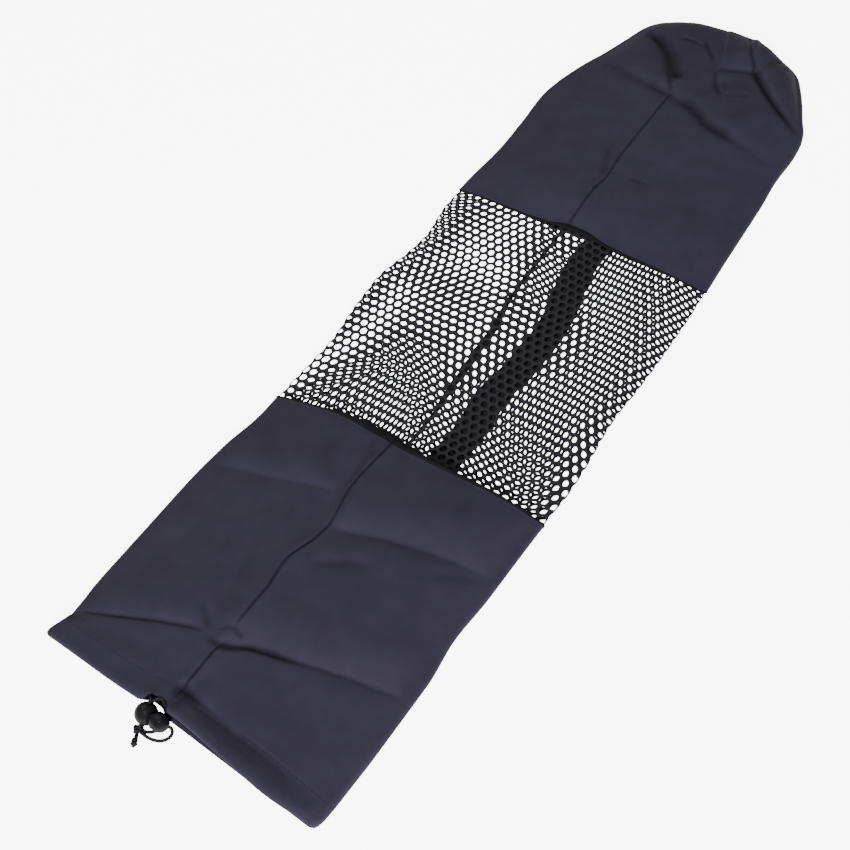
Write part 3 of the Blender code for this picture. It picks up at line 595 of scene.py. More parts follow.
def outwardAt(cloth, turn, share):
    # unit normal from small steps round and along the tube
    step = 0.004
    roundStep = tubePoints(cloth, turn + step, share)[0] - tubePoints(cloth, turn - step, share)[0]
    high = np.clip(share + step, 0, 1)
    low = np.clip(share - step, 0, 1)
    alongStep = tubePoints(cloth, turn, high)[0] - tubePoints(cloth, turn, low)[0]
    normal = np.cross(roundStep, alongStep)
    return normal / np.linalg.norm(normal, axis=-1, keepdims=True)


def gridNormals(points):
    # unit normal of a grid of rings by stations, closed round the stations
    roundStep = np.roll(points, -1, axis=1) - np.roll(points, 1, axis=1)
    alongStep = np.gradient(points, axis=0)
    normal = np.cross(roundStep, alongStep)
    return normal / np.maximum(np.linalg.norm(normal, axis=-1, keepdims=True), 1e-9)


def crowded(count, pull):
    # shares from 0 to 1 that lie closer together near both ends
    t = np.linspace(0, 1, count + 1)
    return t - pull * np.sin(2 * math.pi * t) / (2 * math.pi)


def stationTurns(across, folds):
    # stations round the tube: closer together near the seam on top, and as on top under the bag
    leftCount = round(across * 0.46)
    leftSide = -1 + (seamShare + 1) * (1 - (1 - np.linspace(0, 1, leftCount + 1)) ** 1.35)
    rightSide = seamShare + (1 - seamShare) * np.linspace(0, 1, across - leftCount + 1) ** 1.35
    u = np.concatenate([leftSide[:-1], rightSide])
    top = (u + 1) / 2
    fold = np.linspace(0, 1, folds + 1)[1:-1]
    return np.concatenate([top, 1 + fold, 2 + (1 - top[::-1]), 3 + fold])


def makeMesh(name, points, faces, material, uvs=None, shades=None, sharp=50):
    # uvs holds a pair for each corner of each face, shades a number per point: the
    # painted shade, stored as the crease attribute
    mesh = bpy.data.meshes.new(name)
    mesh.from_pydata(toFrame(points).tolist(), [], [list(face) for face in faces])
    mesh.shade_smooth()
    mesh.set_sharp_from_angle(angle=math.radians(sharp))
    if uvs is not None:
        layer = mesh.uv_layers.new(name="UVMap")
        layer.data.foreach_set("uv", np.asarray(uvs, np.float32).ravel())
    if shades is not None:
        attribute = mesh.attributes.new("crease", "FLOAT", "POINT")
        attribute.data.foreach_set("value", np.asarray(shades, np.float32))
    mesh.materials.append(material)
    mesh.update()
    piece = bpy.data.objects.new(name, mesh)
    bpy.context.scene.collection.objects.link(piece)
    return piece


def ringFaces(rings, stations, wrapRings=True):
    # quads between neighbouring rings and stations, and their corners as pairs
    ring, station = np.meshgrid(np.arange(rings if wrapRings else rings - 1),
                                np.arange(stations), indexing="ij")
    ringCorner = np.stack([ring, ring, ring + 1, ring + 1], -1).reshape(-1, 4)
    stationCorner = np.stack([station, station + 1, station + 1, station], -1).reshape(-1, 4)
    return ringCorner, stationCorner


def endCaps(rings, stations):
    # the first and the last ring of an open tube, each as one face
    last = (rings - 1) * stations
    return [list(range(stations))[::-1], list(range(last, last + stations))]


def tubeFaces(rings, stations):
    # the quads of an open tube, and its two ends
    ring, station = ringFaces(rings, stations, False)
    return (ring * stations + station % stations).tolist() + endCaps(rings, stations)


def ringMesh(name, rings, marks, material, shades=None, skip=None, extra=(), wrapRings=True):
    # marks gives each ring station its place on the flat cloth, one column more
    # than the stations, so that the weave runs on where the ring closes
    count, stations = rings.shape[:2]
    ringCorner, stationCorner = ringFaces(count, stations, wrapRings)
    if skip is not None:
        keep = ~skip[ringCorner[:, 0], stationCorner[:, 0]]
        ringCorner = ringCorner[keep]
        stationCorner = stationCorner[keep]
    faces = (ringCorner % count) * stations + stationCorner % stations
    uvs = marks[ringCorner % count, stationCorner].reshape(-1, 2)
    extraUvs = [marks[v // stations, v % stations] for face in extra for v in face]
    if extra:
        uvs = np.concatenate([uvs, np.array(extraUvs)])
    flatShades = None if shades is None else shades.reshape(-1)
    return makeMesh(name, rings.reshape(-1, 3), faces.tolist() + list(extra), material,
                    uvs, flatShades)


def flatMarks(points):
    # distance round the ring and along the bag, in metres, as the cloth's own
    # flat measure
    closed = np.concatenate([points, points[:, :1]], axis=1)
    steps = np.linalg.norm(np.diff(closed, axis=1), axis=-1)
    around = np.concatenate([np.zeros((len(points), 1)), np.cumsum(steps, axis=1)], axis=1)
    return np.stack([around, closed[..., 1]], -1) * 0.001


# Materials

def newMaterial(name, colour, roughness, **sockets):
    material = bpy.data.materials.new(name)
    material.use_nodes = True
    shader = material.node_tree.nodes["Principled BSDF"]
    shader.inputs["Base Color"].default_value = (*colour, 1)
    shader.inputs["Roughness"].default_value = roughness
    for socket, value in sockets.items():
        shader.inputs[socket.replace("_", " ")].default_value = value
    return material


def addNode(material, kind, **settings):
    node = material.node_tree.nodes.new(kind)
    for name, value in settings.items():
        if name in node.inputs:
            node.inputs[name].default_value = value
        else:
            setattr(node, name, value)
    return node


def join(material, *links):
    for source, target in links:
        material.node_tree.links.new(source, target)


def sourceOf(material, uv):
    if uv:
        return addNode(material, "ShaderNodeUVMap", uv_map="UVMap").outputs["UV"]
    return addNode(material, "ShaderNodeTexCoord").outputs["Object"]


def bands(material, source, size, direction, detail=0.0, distortion=0.0):
    # stripes, with the wave's scale worked out from a pitch in metres
    wave = addNode(material, "ShaderNodeTexWave", wave_type="BANDS",
                   bands_direction=direction, Scale=math.pi / (10 * size),
                   Distortion=distortion, Detail=detail)
    join(material, (source, wave.inputs["Vector"]))
    return wave.outputs["Fac"]


def calculate(material, operation, first, second=None, clamp=False):
    node = addNode(material, "ShaderNodeMath", operation=operation, use_clamp=clamp)
    for index, value in enumerate((first, second)):
        if value is None:
            continue
        if isinstance(value, (int, float)):
            node.inputs[index].default_value = value
        else:
            join(material, (value, node.inputs[index]))
    return node.outputs[0]


def noise(material, source, size, detail=3.0, roughness=0.5):
    node = addNode(material, "ShaderNodeTexNoise", Scale=1 / size, Detail=detail,
                   Roughness=roughness)
    join(material, (source, node.inputs["Vector"]))
    return node.outputs["Fac"]


def spread(material, value, low, high, outLow=0.0, outHigh=1.0):
    node = addNode(material, "ShaderNodeMapRange")
    names = ("From Min", "From Max", "To Min", "To Max")
    for name, number in zip(names, (low, high, outLow, outHigh)):
        node.inputs[name].default_value = number
    join(material, (value, node.inputs["Value"]))
    return node.outputs[0]


def blendColour(material, share, low, high):
    node = addNode(material, "ShaderNodeMix", data_type="RGBA")
    for index, colour in ((6, low), (7, high)):
        if isinstance(colour, tuple):
            node.inputs[index].default_value = (*colour, 1)
        else:
            join(material, (colour, node.inputs[index]))
    join(material, (share, node.inputs[0]))
    return node.outputs[2]


def tintBetween(material, value, low, high, look):
    # the look's dark colour where the value is low, and its pale one where it is high
    return blendColour(material, spread(material, value, low, high), look["dark"], look["pale"])


def bump(material, height, strength, distance):
    node = addNode(material, "ShaderNodeBump", Strength=strength, Distance=distance)
    join(material, (height, node.inputs["Height"]))
    return node.outputs["Normal"]


def intoShader(material, **links):
    shader = material.node_tree.nodes["Principled BSDF"]
    for socket, source in links.items():
        join(material, (source, shader.inputs[socket.replace("_", " ")]))


nylonLook = {
    "colour": (0.0252, 0.0220, 0.0370),
    "pale": (0.0335, 0.0297, 0.0475),
    # dark is the colour that the painted shade blends the cloth towards
    "dark": (0.0050, 0.0042, 0.0090),
    "thread": 0.00052,
}


def nylonMaterial(look):
    material = newMaterial("nylon_oxford", look["colour"], 0.50,
                           Sheen_Weight=0.02, Sheen_Roughness=0.45, Specular_IOR_Level=0.14)
    shader = material.node_tree.nodes["Principled BSDF"]
    shader.inputs["Sheen Tint"].default_value = (0.75, 0.78, 1.0, 1)
    flat = sourceOf(material, True)
    solid = sourceOf(material, False)
    warp = bands(material, flat, look["thread"], "X")
    weft = bands(material, flat, look["thread"] * 1.15, "Y")
    weave = calculate(material, "MULTIPLY", warp, weft)
    slub = noise(material, flat, 0.0014, 2.0)
    mottle = noise(material, solid, 0.020, 4.0, 0.6)
    threads = calculate(material, "ADD", weave, calculate(material, "MULTIPLY", slub, 0.6))
    pale = spread(material, calculate(material, "ADD", calculate(material, "MULTIPLY", weave, 0.35),
                                      mottle), 0.35, 1.0)
    cloth = blendColour(material, pale, look["colour"], look["pale"])
    # painted shade: the crease attribute darkens the cloth towards the dark colour in crease valleys, the
    # seam's tuck, the inner side and the hem's lower lip
    crease = addNode(material, "ShaderNodeAttribute", attribute_name="crease")
    withPaintedShade = blendColour(material, crease.outputs["Fac"], cloth, look["dark"])
    intoShader(material, Base_Color=withPaintedShade,
               Roughness=spread(material, threads, 0.0, 1.6, 0.56, 0.44),
               Normal=bump(material, threads, 0.35, 0.00012))
    return material


netLook = {
    "colour": (0.020, 0.018, 0.024),
    "pale": (0.022, 0.020, 0.027),
    "dark": (0.008, 0.007, 0.010),
    "strand": 0.0007,
}


def netMaterial(look):
    material = newMaterial("net_yarn", look["colour"], 0.62,
                           Sheen_Weight=0.04, Specular_IOR_Level=0.25)
    solid = sourceOf(material, False)
    strand = noise(material, solid, look["strand"], 3.0, 0.7)
    broad = noise(material, solid, 0.012, 2.0)
    tint = tintBetween(material, strand, 0.3, 0.7, look)
    height = calculate(material, "ADD", strand, calculate(material, "MULTIPLY", broad, 0.3))
    intoShader(material, Base_Color=tint, Normal=bump(material, height, 0.55, 0.0002))
    return material


bindingLook = {
    "colour": (0.006, 0.005, 0.008),
    "pale": (0.016, 0.015, 0.020),
    "dark": (0.004, 0.004, 0.006),
    "thread": 0.0011,
}


def bindingMaterial(look):
    material = newMaterial("overlocked_edge", look["colour"], 0.8, Specular_IOR_Level=0.15)
    flat = sourceOf(material, True)
    threads = bands(material, flat, look["thread"], "DIAGONAL", 2.0, 1.5)
    fuzz = noise(material, flat, 0.0006, 3.0)
    height = calculate(material, "ADD", threads, fuzz)
    tint = tintBetween(material, height, 0.4, 1.6, look)
    intoShader(material, Base_Color=tint, Normal=bump(material, height, 0.6, 0.0003))
    return material


webbingLook = {
    "colour": (0.011, 0.010, 0.013),
    "pale": (0.018, 0.016, 0.022),
    "dark": (0.006, 0.0055, 0.008),
    "rib": 0.0016,
    "pick": 0.0011,
}


def webbingMaterial(look):
    material = newMaterial("strap_webbing", look["colour"], 0.7, Specular_IOR_Level=0.18)
    flat = sourceOf(material, True)
    ribs = bands(material, flat, look["rib"], "X")
    picks = bands(material, flat, look["pick"], "Y")
    weave = calculate(material, "MULTIPLY", ribs, calculate(material, "ADD", picks, 0.4))
    fuzz = noise(material, flat, 0.0009, 3.0)
    height = calculate(material, "ADD", weave, calculate(material, "MULTIPLY", fuzz, 0.4))
    tint = tintBetween(material, height, 0.2, 1.5, look)
    intoShader(material, Base_Color=tint, Normal=bump(material, height, 0.7, 0.0004))
    return material


cordLook = {
    "colour": (0.010, 0.009, 0.012),
    "pale": (0.020, 0.019, 0.024),
    "dark": (0.006, 0.006, 0.008),
    "plait": 0.0013,
}


def cordMaterial(look):
    material = newMaterial("cord_braid", look["colour"], 0.65, Specular_IOR_Level=0.22)
    flat = sourceOf(material, True)
    rising = bands(material, flat, look["plait"], "DIAGONAL")
    mirrored = addNode(material, "ShaderNodeMapping")
    mirrored.inputs["Scale"].default_value = (-1, 1, 1)
    join(material, (flat, mirrored.inputs["Vector"]))
    falling = bands(material, mirrored.outputs["Vector"], look["plait"], "DIAGONAL")
    braid = calculate(material, "MAXIMUM", rising, falling)
    fuzz = noise(material, flat, 0.0005, 2.0)
    height = calculate(material, "ADD", braid, calculate(material, "MULTIPLY", fuzz, 0.35))
    tint = tintBetween(material, height, 0.3, 1.3, look)
    intoShader(material, Base_Color=tint, Normal=bump(material, height, 0.8, 0.0003))
    return material


plasticLook = {
    "colour": (0.008, 0.008, 0.009),
    "pale": (0.010, 0.010, 0.012),
    "dark": (0.006, 0.006, 0.007),
    "grain": 0.0006,
}


def plasticMaterial(look):
    material = newMaterial("lock_plastic", look["colour"], 0.38, Specular_IOR_Level=0.30)
    solid = sourceOf(material, False)
    grain = noise(material, solid, look["grain"], 3.0, 0.6)
    worn = noise(material, solid, 0.004, 4.0, 0.7)
    intoShader(material,
               Base_Color=tintBetween(material, worn, 0.45, 0.75, look),
               Roughness=spread(material, worn, 0.3, 0.7, 0.32, 0.44),
               Normal=bump(material, grain, 0.25, 0.00008))
    return material


threadLook = {
    "colour": (0.028, 0.024, 0.044),
    "pale": (0.034, 0.029, 0.053),
    "dark": (0.022, 0.019, 0.035),
    "twist": 0.0003,
}


def threadMaterial(look):
    material = newMaterial("sewing_thread", look["colour"], 0.6, Specular_IOR_Level=0.2)
    solid = sourceOf(material, False)
    twist = noise(material, solid, look["twist"], 2.0)
    intoShader(material,
               Base_Color=blendColour(material, twist, look["dark"], look["pale"]),
               Normal=bump(material, twist, 0.5, 0.0001))
    return material


nylon = nylonMaterial(nylonLook)
netYarn = netMaterial(netLook)
binding = bindingMaterial(bindingLook)
webbing = webbingMaterial(webbingLook)
braid = cordMaterial(cordLook)
plastic = plasticMaterial(plasticLook)
thread = threadMaterial(threadLook)
print("materials made")


# The drawcord, its knot and its end

def sweep(name, path, radius, sides, material, closed=False):
    # a tube round a path in millimetres: its section is radius times
    # (cos, sin) in the plane square to the path, with level as its first axis
    path = np.asarray(path, float)
    if closed:
        tangent = np.roll(path, -1, axis=0) - np.roll(path, 1, axis=0)
    else:
        tangent = np.gradient(path, axis=0)
    tangent /= np.linalg.norm(tangent, axis=1, keepdims=True)
    level = np.cross(tangent, (0.02, 0.03, 1.0))
    level /= np.linalg.norm(level, axis=1, keepdims=True)
    raised = np.cross(level, tangent)
    angle = np.linspace(0, 2 * math.pi, sides, endpoint=False)
    size = np.broadcast_to(np.asarray(radius, float), len(path))[:, None, None]
    rings = (path[:, None, :] + size * (np.cos(angle)[None, :, None] * level[:, None, :]
                                        - np.sin(angle)[None, :, None] * raised[:, None, :]))
    length = np.concatenate([[0], np.cumsum(np.linalg.norm(np.diff(path, axis=0), axis=1))])
    marks = np.stack(np.broadcast_arrays(
        np.linspace(0, 2 * math.pi, sides + 1)[None, :] * size[:, :, 0], length[:, None]), -1)
    ends = [] if closed else endCaps(len(path), sides)
    return ringMesh(name, rings, marks * 0.001, material, extra=ends, wrapRings=closed)


def throughPoints(route, spacing):
    # Catmull-Rom curve through the route, with a point about every spacing
    route = np.asarray(route, float)
    padded = np.concatenate([route[:1], route, route[-1:]])
    pieces = [route[:1]]
    for index in range(len(route) - 1):
        before, low, high, after = padded[index:index + 4]
        count = max(1, round(np.linalg.norm(high - low) / spacing))
        t = (np.arange(1, count + 1) / count)[:, None]
        pieces.append(0.5 * (2 * low + (high - before) * t
                             + (2 * before - 5 * low + 4 * high - after) * t**2
                             + (3 * low - before - 3 * high + after) * t**3))
    return np.concatenate(pieces)


lock = {
    "ball": (-20.8, -4.2, 8.0),
    "radius": 8.0,
    "lift": 5.0,
    "dive": 32.0,
    "stem": 3.9,
    "clearance": 0.3,
    "travel": 2.5,
    "headRadius": 6.4,
    "headLength": 11.2,
    "holeReach": 12.0,
    # the ball is cut flat where the plunger goes in, at this share of its radius
    "face": 0.72,
    "rim": 0.45,
    "sides": 56,
}

hem = {
    "length": 14.5,
    "cordIn": 3.6,
    "cordDepth": 2.3,
    "gapLeft": -27.5,
    "gapRight": -8.5,
    "thick": 4.4,
    "cloth": 0.6,
    # the hem ends at this share of the mouth's cloth, and has rings so far from the edge
    "knot": 0.08,
    "rings": (2.2, 4.5, 7.25, 11.0),
}

cord = {
    "diameter": 2.4,
    "apart": 2.7,
    "floor": 1.22,
    "knotRadius": 2.7,
    "knotCord": 1.25,
    "tailWay": (0.5, -0.87, 0.0),
    "tailStart": 1.8,
    "tailLength": 4.7,
    "tipStart": 3.4,
    "tipLength": 7.6,
    "tipRadius": 2.3,
    "tipLift": 1.1,
    # the loop beside the lock, from its lower hole to the knot, as x and along
    # from the ball's centre and z from the ground
    "loop": (
        (1.3, -8.6, 1.7),
        (4.5, -8.9, 1.22),
        (8.5, -6.6, 1.22),
        (11.5, -2.7, 1.22),
        (14.2, 1.4, 1.22),
        (17.6, 2.6, 1.22),
        (20.8, 0.6, 1.22),
        (21.4, -3.2, 1.22),
        (19.0, -7.2, 1.22),
        (14.5, -9.8, 1.22),
        (8.5, -11.0, 1.3),
    ),
}


def lockMatrix():
    # the lock's own axes: X is the plunger's, and Y the cord's way through
    lift = Matrix.Rotation(-math.radians(lock["lift"]), 4, "Y")
    dive = Matrix.Rotation(math.radians(lock["dive"]), 4, "X")
    return Matrix.Translation(lock["ball"]) @ lift @ dive


def hemPoints(turn, inward, depth):
    # points of the hem: inward from the mouth's edge, and depth into the cloth
    share = np.asarray(inward, float) / hem["length"] * hem["knot"]
    points = tubePoints(mouthCloth, turn, share)[0]
    outward = outwardAt(mouthCloth, turn, np.maximum(share, 0.03))
    return points - outward * np.asarray(depth)[..., None]


def turnOnTop(x):
    # the station on top of the hem that lies at x
    turns = np.linspace(0.2, 0.7, 400)
    return np.interp(x, tubePoints(mouthCloth, turns, 0.02)[0][:, 0], turns)


def cordRoute():
    place = lockMatrix()
    reach = lock["radius"] * 1.04
    half = cord["apart"] / 2
    ball = np.array(lock["ball"])
    knot = ball + (-0.6, -10.8, cord["knotRadius"] - lock["radius"])

    def inLock(side, height):
        return np.array(place @ Vector((0, side * reach, height * half)))

    def atKnot(point):
        away = point - knot
        return knot + away / np.linalg.norm(away) * (cord["knotRadius"] + 0.3)

    loop = [np.array((ball[0] + x, ball[1] + along, z)) for x, along, z in cord["loop"]]
    lower = [inLock(1, -1), inLock(-1, -1), *loop]
    lower.append(atKnot(lower[-1]))
    first = turnOnTop(hem["gapRight"])
    last = turnOnTop(hem["gapLeft"])
    turns = np.interp(np.linspace(0, 1, 150), (0, 0.26, 0.29, 0.50, 0.72, 0.75, 1),
                      (first, 1, 2, 2.5, 3, 4, 4 + last))
    hemPath = hemPoints(turns, hem["cordIn"], np.full(len(turns), hem["cordDepth"]))
    toRight = throughPoints([
        inLock(1, -1),
        inLock(1, -1) + (0.6, 1.6, 0.9),
        inLock(1, -1) + (4.2, 5.0, 1.2),
        hemPath[0] + (-3.5, -0.6, 0.1),
        hemPath[0]], 1.5)
    toLeft = throughPoints([
        hemPath[-1],
        hemPath[-1] + (3.0, -1.2, 0.5),
        inLock(1, 1) + (-0.6, 2.4, 1.0),
        inLock(1, 1)], 1.5)
    upper = [inLock(1, 1), inLock(-1, 1), atKnot(inLock(-1, 1))]
    path = np.concatenate([
        throughPoints(lower[::-1], 1.4),
        toRight[1:],
        hemPath[1:],
        toLeft[1:],
        throughPoints(upper, 1.4)[1:]])
    return path, knot


def makeCord():
    path, knot = cordRoute()
    run = sweep("drawcord_braid", path, cord["diameter"] / 2, 14, braid)
    turn = np.linspace(0, 2 * math.pi, 72, endpoint=False)
    trefoil = np.stack([np.sin(turn) + 2 * np.sin(2 * turn),
                        np.cos(turn) - 2 * np.cos(2 * turn), -1.3 * np.sin(3 * turn)], -1)
    trefoil = trefoil * (0.72, 0.72, 0.80) + knot
    bead = sweep("cord_knot_braid", trefoil, cord["knotCord"], 10, braid, closed=True)
    away = np.array(cord["tailWay"])
    away /= np.linalg.norm(away)
    start = knot + (0, 0, cord["floor"] - cord["knotRadius"]) + away * cord["tailStart"]
    tail = sweep("cord_tail_braid", start + away * np.linspace(0, cord["tailLength"], 8)[:, None],
                 cord["diameter"] / 2 + np.linspace(0, 0.3, 8), 14, braid)
    # the melted tip swells as sin(pi * share) to the power 0.55, with small waves in it
    share = np.linspace(0, 1, 22)
    swell = np.sin(math.pi * np.clip(share, 0.02, 0.98)) ** 0.55
    size = cord["tipRadius"] * swell * (1 - 0.12 * np.cos(share * 14))
    tipPath = start + away * (cord["tipStart"] + cord["tipLength"] * share[:, None])
    tip = sweep("cord_end_melted", tipPath + (0, 0, cord["tipLift"]), size, 16, braid)
    nodes = ("drawcord", "cord_knot", "cord_tail", "cord_tip")
    for piece, node in zip((run, bead, tail, tip), nodes):
        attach(piece, "bag")
        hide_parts(node)


makeCord()


# The cord lock: a ball with a hole for the cord, and its plunger

def turnedSolid(name, profile, sides, material):
    # a profile of (x, radius) in millimetres turned round the lock's X axis
    profile = np.asarray(profile, float)
    angle = np.linspace(0, 2 * math.pi, sides, endpoint=False)
    rings = np.stack([
        np.broadcast_to(profile[:, :1], (len(profile), sides)),
        profile[:, 1:] * np.cos(angle),
        profile[:, 1:] * np.sin(angle)], -1)
    rotation = np.array(lockMatrix().to_3x3())
    rings = rings @ rotation.T + np.array(lock["ball"])
    return makeMesh(name, rings.reshape(-1, 3), tubeFaces(len(profile), sides), material, sharp=40)


def cordHole(piece, xLow, xHigh):
    # cuts the cord's slot through the piece, along the lock's Y axis: its section
    # is a quarter round at each corner, and the right half mirrors the left
    half = cord["diameter"] / 2 + lock["clearance"]
    tall = cord["apart"] / 2
    angle = np.linspace(math.pi / 2, 0, 5)
    upper = np.stack([xLow + half * (1 - np.cos(angle)), tall + half * np.sin(angle)], -1)
    left = np.concatenate([upper, upper[::-1] * (1, -1)])
    right = left[::-1] * (-1, 1) + (xLow + xHigh, 0)
    section = np.concatenate([left, right])
    rings = np.stack([np.insert(section, 1, end * lock["holeReach"], axis=1) for end in (-1, 1)])
    rings = rings @ np.array(lockMatrix().to_3x3()).T + np.array(lock["ball"])
    cutter = makeMesh("hole_" + piece.name, rings.reshape(-1, 3), tubeFaces(2, len(section)), plastic)
    modifier = piece.modifiers.new("hole", "BOOLEAN")
    modifier.operation = "DIFFERENCE"
    modifier.solver = "EXACT"
    modifier.object = cutter
    bpy.context.view_layer.update()
    graph = bpy.context.evaluated_depsgraph_get()
    cutMesh = bpy.data.meshes.new_from_object(piece.evaluated_get(graph))
    piece.modifiers.clear()
    piece.data = cutMesh
    bpy.data.objects.remove(cutter)
    cutMesh.shade_smooth()
    cutMesh.set_sharp_from_angle(angle=math.radians(40))


def makeLock():
    radius = lock["radius"]
    face = lock["face"] * radius
    bore = lock["stem"] + lock["clearance"]
    hole = cord["diameter"] / 2 + lock["clearance"]
    stemEnd = hole + 1.0
    boreEnd = stemEnd + lock["travel"] + lock["clearance"]
    rim = lock["rim"]
    begin = math.acos(face / radius) + 0.06
    profile = [(-boreEnd, 0.01), (-boreEnd, bore), (face - rim, bore),
               (face - 0.3 * rim, bore + 0.3 * rim), (face, bore + rim)]
    for turn in np.linspace(begin, math.pi - 0.002, 30):
        profile.append((radius * math.cos(turn), radius * math.sin(turn)))
    ball = turnedSolid("lock_ball_moulded", profile, lock["sides"], plastic)
    cordHole(ball, -hole, hole)
    head = face + lock["travel"] + lock["clearance"]
    end = head + lock["headLength"]
    size = lock["headRadius"]
    profile = [(-stemEnd, 0.01), (-stemEnd, lock["stem"] - 0.2), (-stemEnd + 0.2, lock["stem"]),
               (head - 0.2, lock["stem"]), (head, lock["stem"] + 0.2), (head, size - 1.0),
               (head + 0.3, size - 0.35), (head + 0.9, size), (mix(head, end, 0.45), size)]
    for turn in np.linspace(0, math.pi / 2, 16)[1:]:
        profile.append((mix(mix(head, end, 0.45), end, math.sin(turn)),
                        max(0.01, size * math.cos(turn))))
    plunger = turnedSolid("lock_plunger_moulded", profile, lock["sides"], plastic)
    cordHole(plunger, -hole, hole + lock["travel"])
    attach(ball, "bag")
    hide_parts("lock_body")
    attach(plunger, "plunger")
    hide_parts("lock_plunger")
    print("lock made")


makeLock()


# The nylon sections

nylonCloth = {
    "thick": 0.6,
    "folds": 9,
    "mouthAcross": 124,
    # rings between the knots of the mouth's cloth, past its hem
    "mouthRows": (30, 52, 26),
    "pull": 0.45,
    "baseAcross": 124,
    "baseRows": 84,
    "endAcross": 136,
    "endRows": 66,
    "endPull": 1.25,
}


def clothFaces(cloth, shares, across):
    # the stations round the tube, the rings of the cloth's outer and inner face and
    # how much painted shade they carry: inner = outer - thickness * normal
    turns = stationTurns(across, nylonCloth["folds"])
    outer, dark = tubePoints(cloth, turns[None, :], shares[:, None])
    return turns, outer, outer - gridNormals(outer) * nylonCloth["thick"], dark


def basePiece():
    # outer rings out and inner rings back
    shares = np.linspace(0, 1, nylonCloth["baseRows"] + 1)
    _, outer, inner, dark = clothFaces(baseCloth, shares, nylonCloth["baseAcross"])
    rings = np.concatenate([outer, inner[::-1]])
    marks = np.concatenate([flatMarks(outer), flatMarks(outer)[::-1]])
    shades = np.concatenate([dark, dark[::-1]])
    return ringMesh("base_nylon", rings, marks, nylon, shades)


def mouthPiece():
    # the mouth's cloth folds in at its edge and back under, as a hem open in a
    # gap where the cord comes out
    knots = mouthCloth["knots"]
    shares = [np.array(hem["rings"]) / hem["length"] * hem["knot"]]
    for low, high, count in zip(knots[1:], knots[2:], nylonCloth["mouthRows"]):
        shares.append(mix(low, high, crowded(count, nylonCloth["pull"]))[:-1])
    shares = np.concatenate([*shares, [1.0]])
    turns, outer, inner, dark = clothFaces(mouthCloth, shares, nylonCloth["mouthAcross"])
    cloth = hem["cloth"]
    deep = hem["thick"]
    # how far in from the edge, and how deep, from the inner side of the outer
    # cloth round inside the hem and back over its lip
    foldPath = np.array([
        (1.5, deep * 0.5),
        (2.6, deep - cloth),
        (7.25, deep - cloth),
        (11.0, deep * 0.62),
        (14.2, 0.95),
        (14.5, 1.55),
        (11.0, deep * 0.62 + cloth),
        (7.25, deep),
        (2.2, deep),
        (0.8, deep * 0.86),
        (0.2, deep * 0.68),
        (0.0, deep * 0.5),
        (0.2, deep * 0.32),
        (0.8, deep * 0.14),
    ])
    depths = np.broadcast_to(foldPath[:, 1:], (len(foldPath), len(turns)))
    fold = hemPoints(turns[None, :], foldPath[:, :1], depths)
    rings = np.concatenate([outer, inner[::-1], fold])
    marks = flatMarks(outer)
    foldMarks = np.repeat(marks[:1], len(foldPath), axis=0)
    foldMarks[..., 1] -= np.linspace(0.002, 0.028, len(foldPath))[:, None]
    marks = np.concatenate([marks, marks[::-1], foldMarks])
    # painted shade: the cloth's inner side is darkened, and so is the hem's lower lip,
    # which lies in shadow under the top layer; its upper lip has the outer side's tone
    # painted shade along the fold, darkest where it starts inside the cloth and lightest at its lip
    foldShade = np.repeat(np.linspace(0.95, 0.2, len(foldPath))[:, None], len(turns), axis=1)
    foldShade[-4:, turns < 1] = 0
    foldShade[-4:, (turns > 1.6) & (turns < 3)] = 0.8
    shades = np.concatenate([dark, np.full(dark.shape, 0.8), foldShade])
    # the gap: its stations have no faces past the inner wall, and its sides are closed
    first = 2 * len(outer) - 1
    topX = outer[0, :, 0]
    inGap = (turns < 1) & (topX > hem["gapLeft"]) & (topX < hem["gapRight"])
    gap = np.flatnonzero(inGap)[:-1]
    skip = np.zeros((len(rings), len(turns) + 1), bool)
    skip[first:, gap[0]:gap[-1] + 1] = True
    stations = len(turns)
    extra = [[first * stations + j, first * stations + j + 1, j + 1, j] for j in gap]
    loop = list(range(first, len(rings))) + [0]
    extra.append([ring * stations + gap[0] for ring in loop][::-1])
    extra.append([ring * stations + gap[-1] + 1 for ring in loop])
    extra = [[int(v) for v in face] for face in extra]
    return ringMesh("mouth_nylon", rings, marks, nylon, shades, skip, extra)


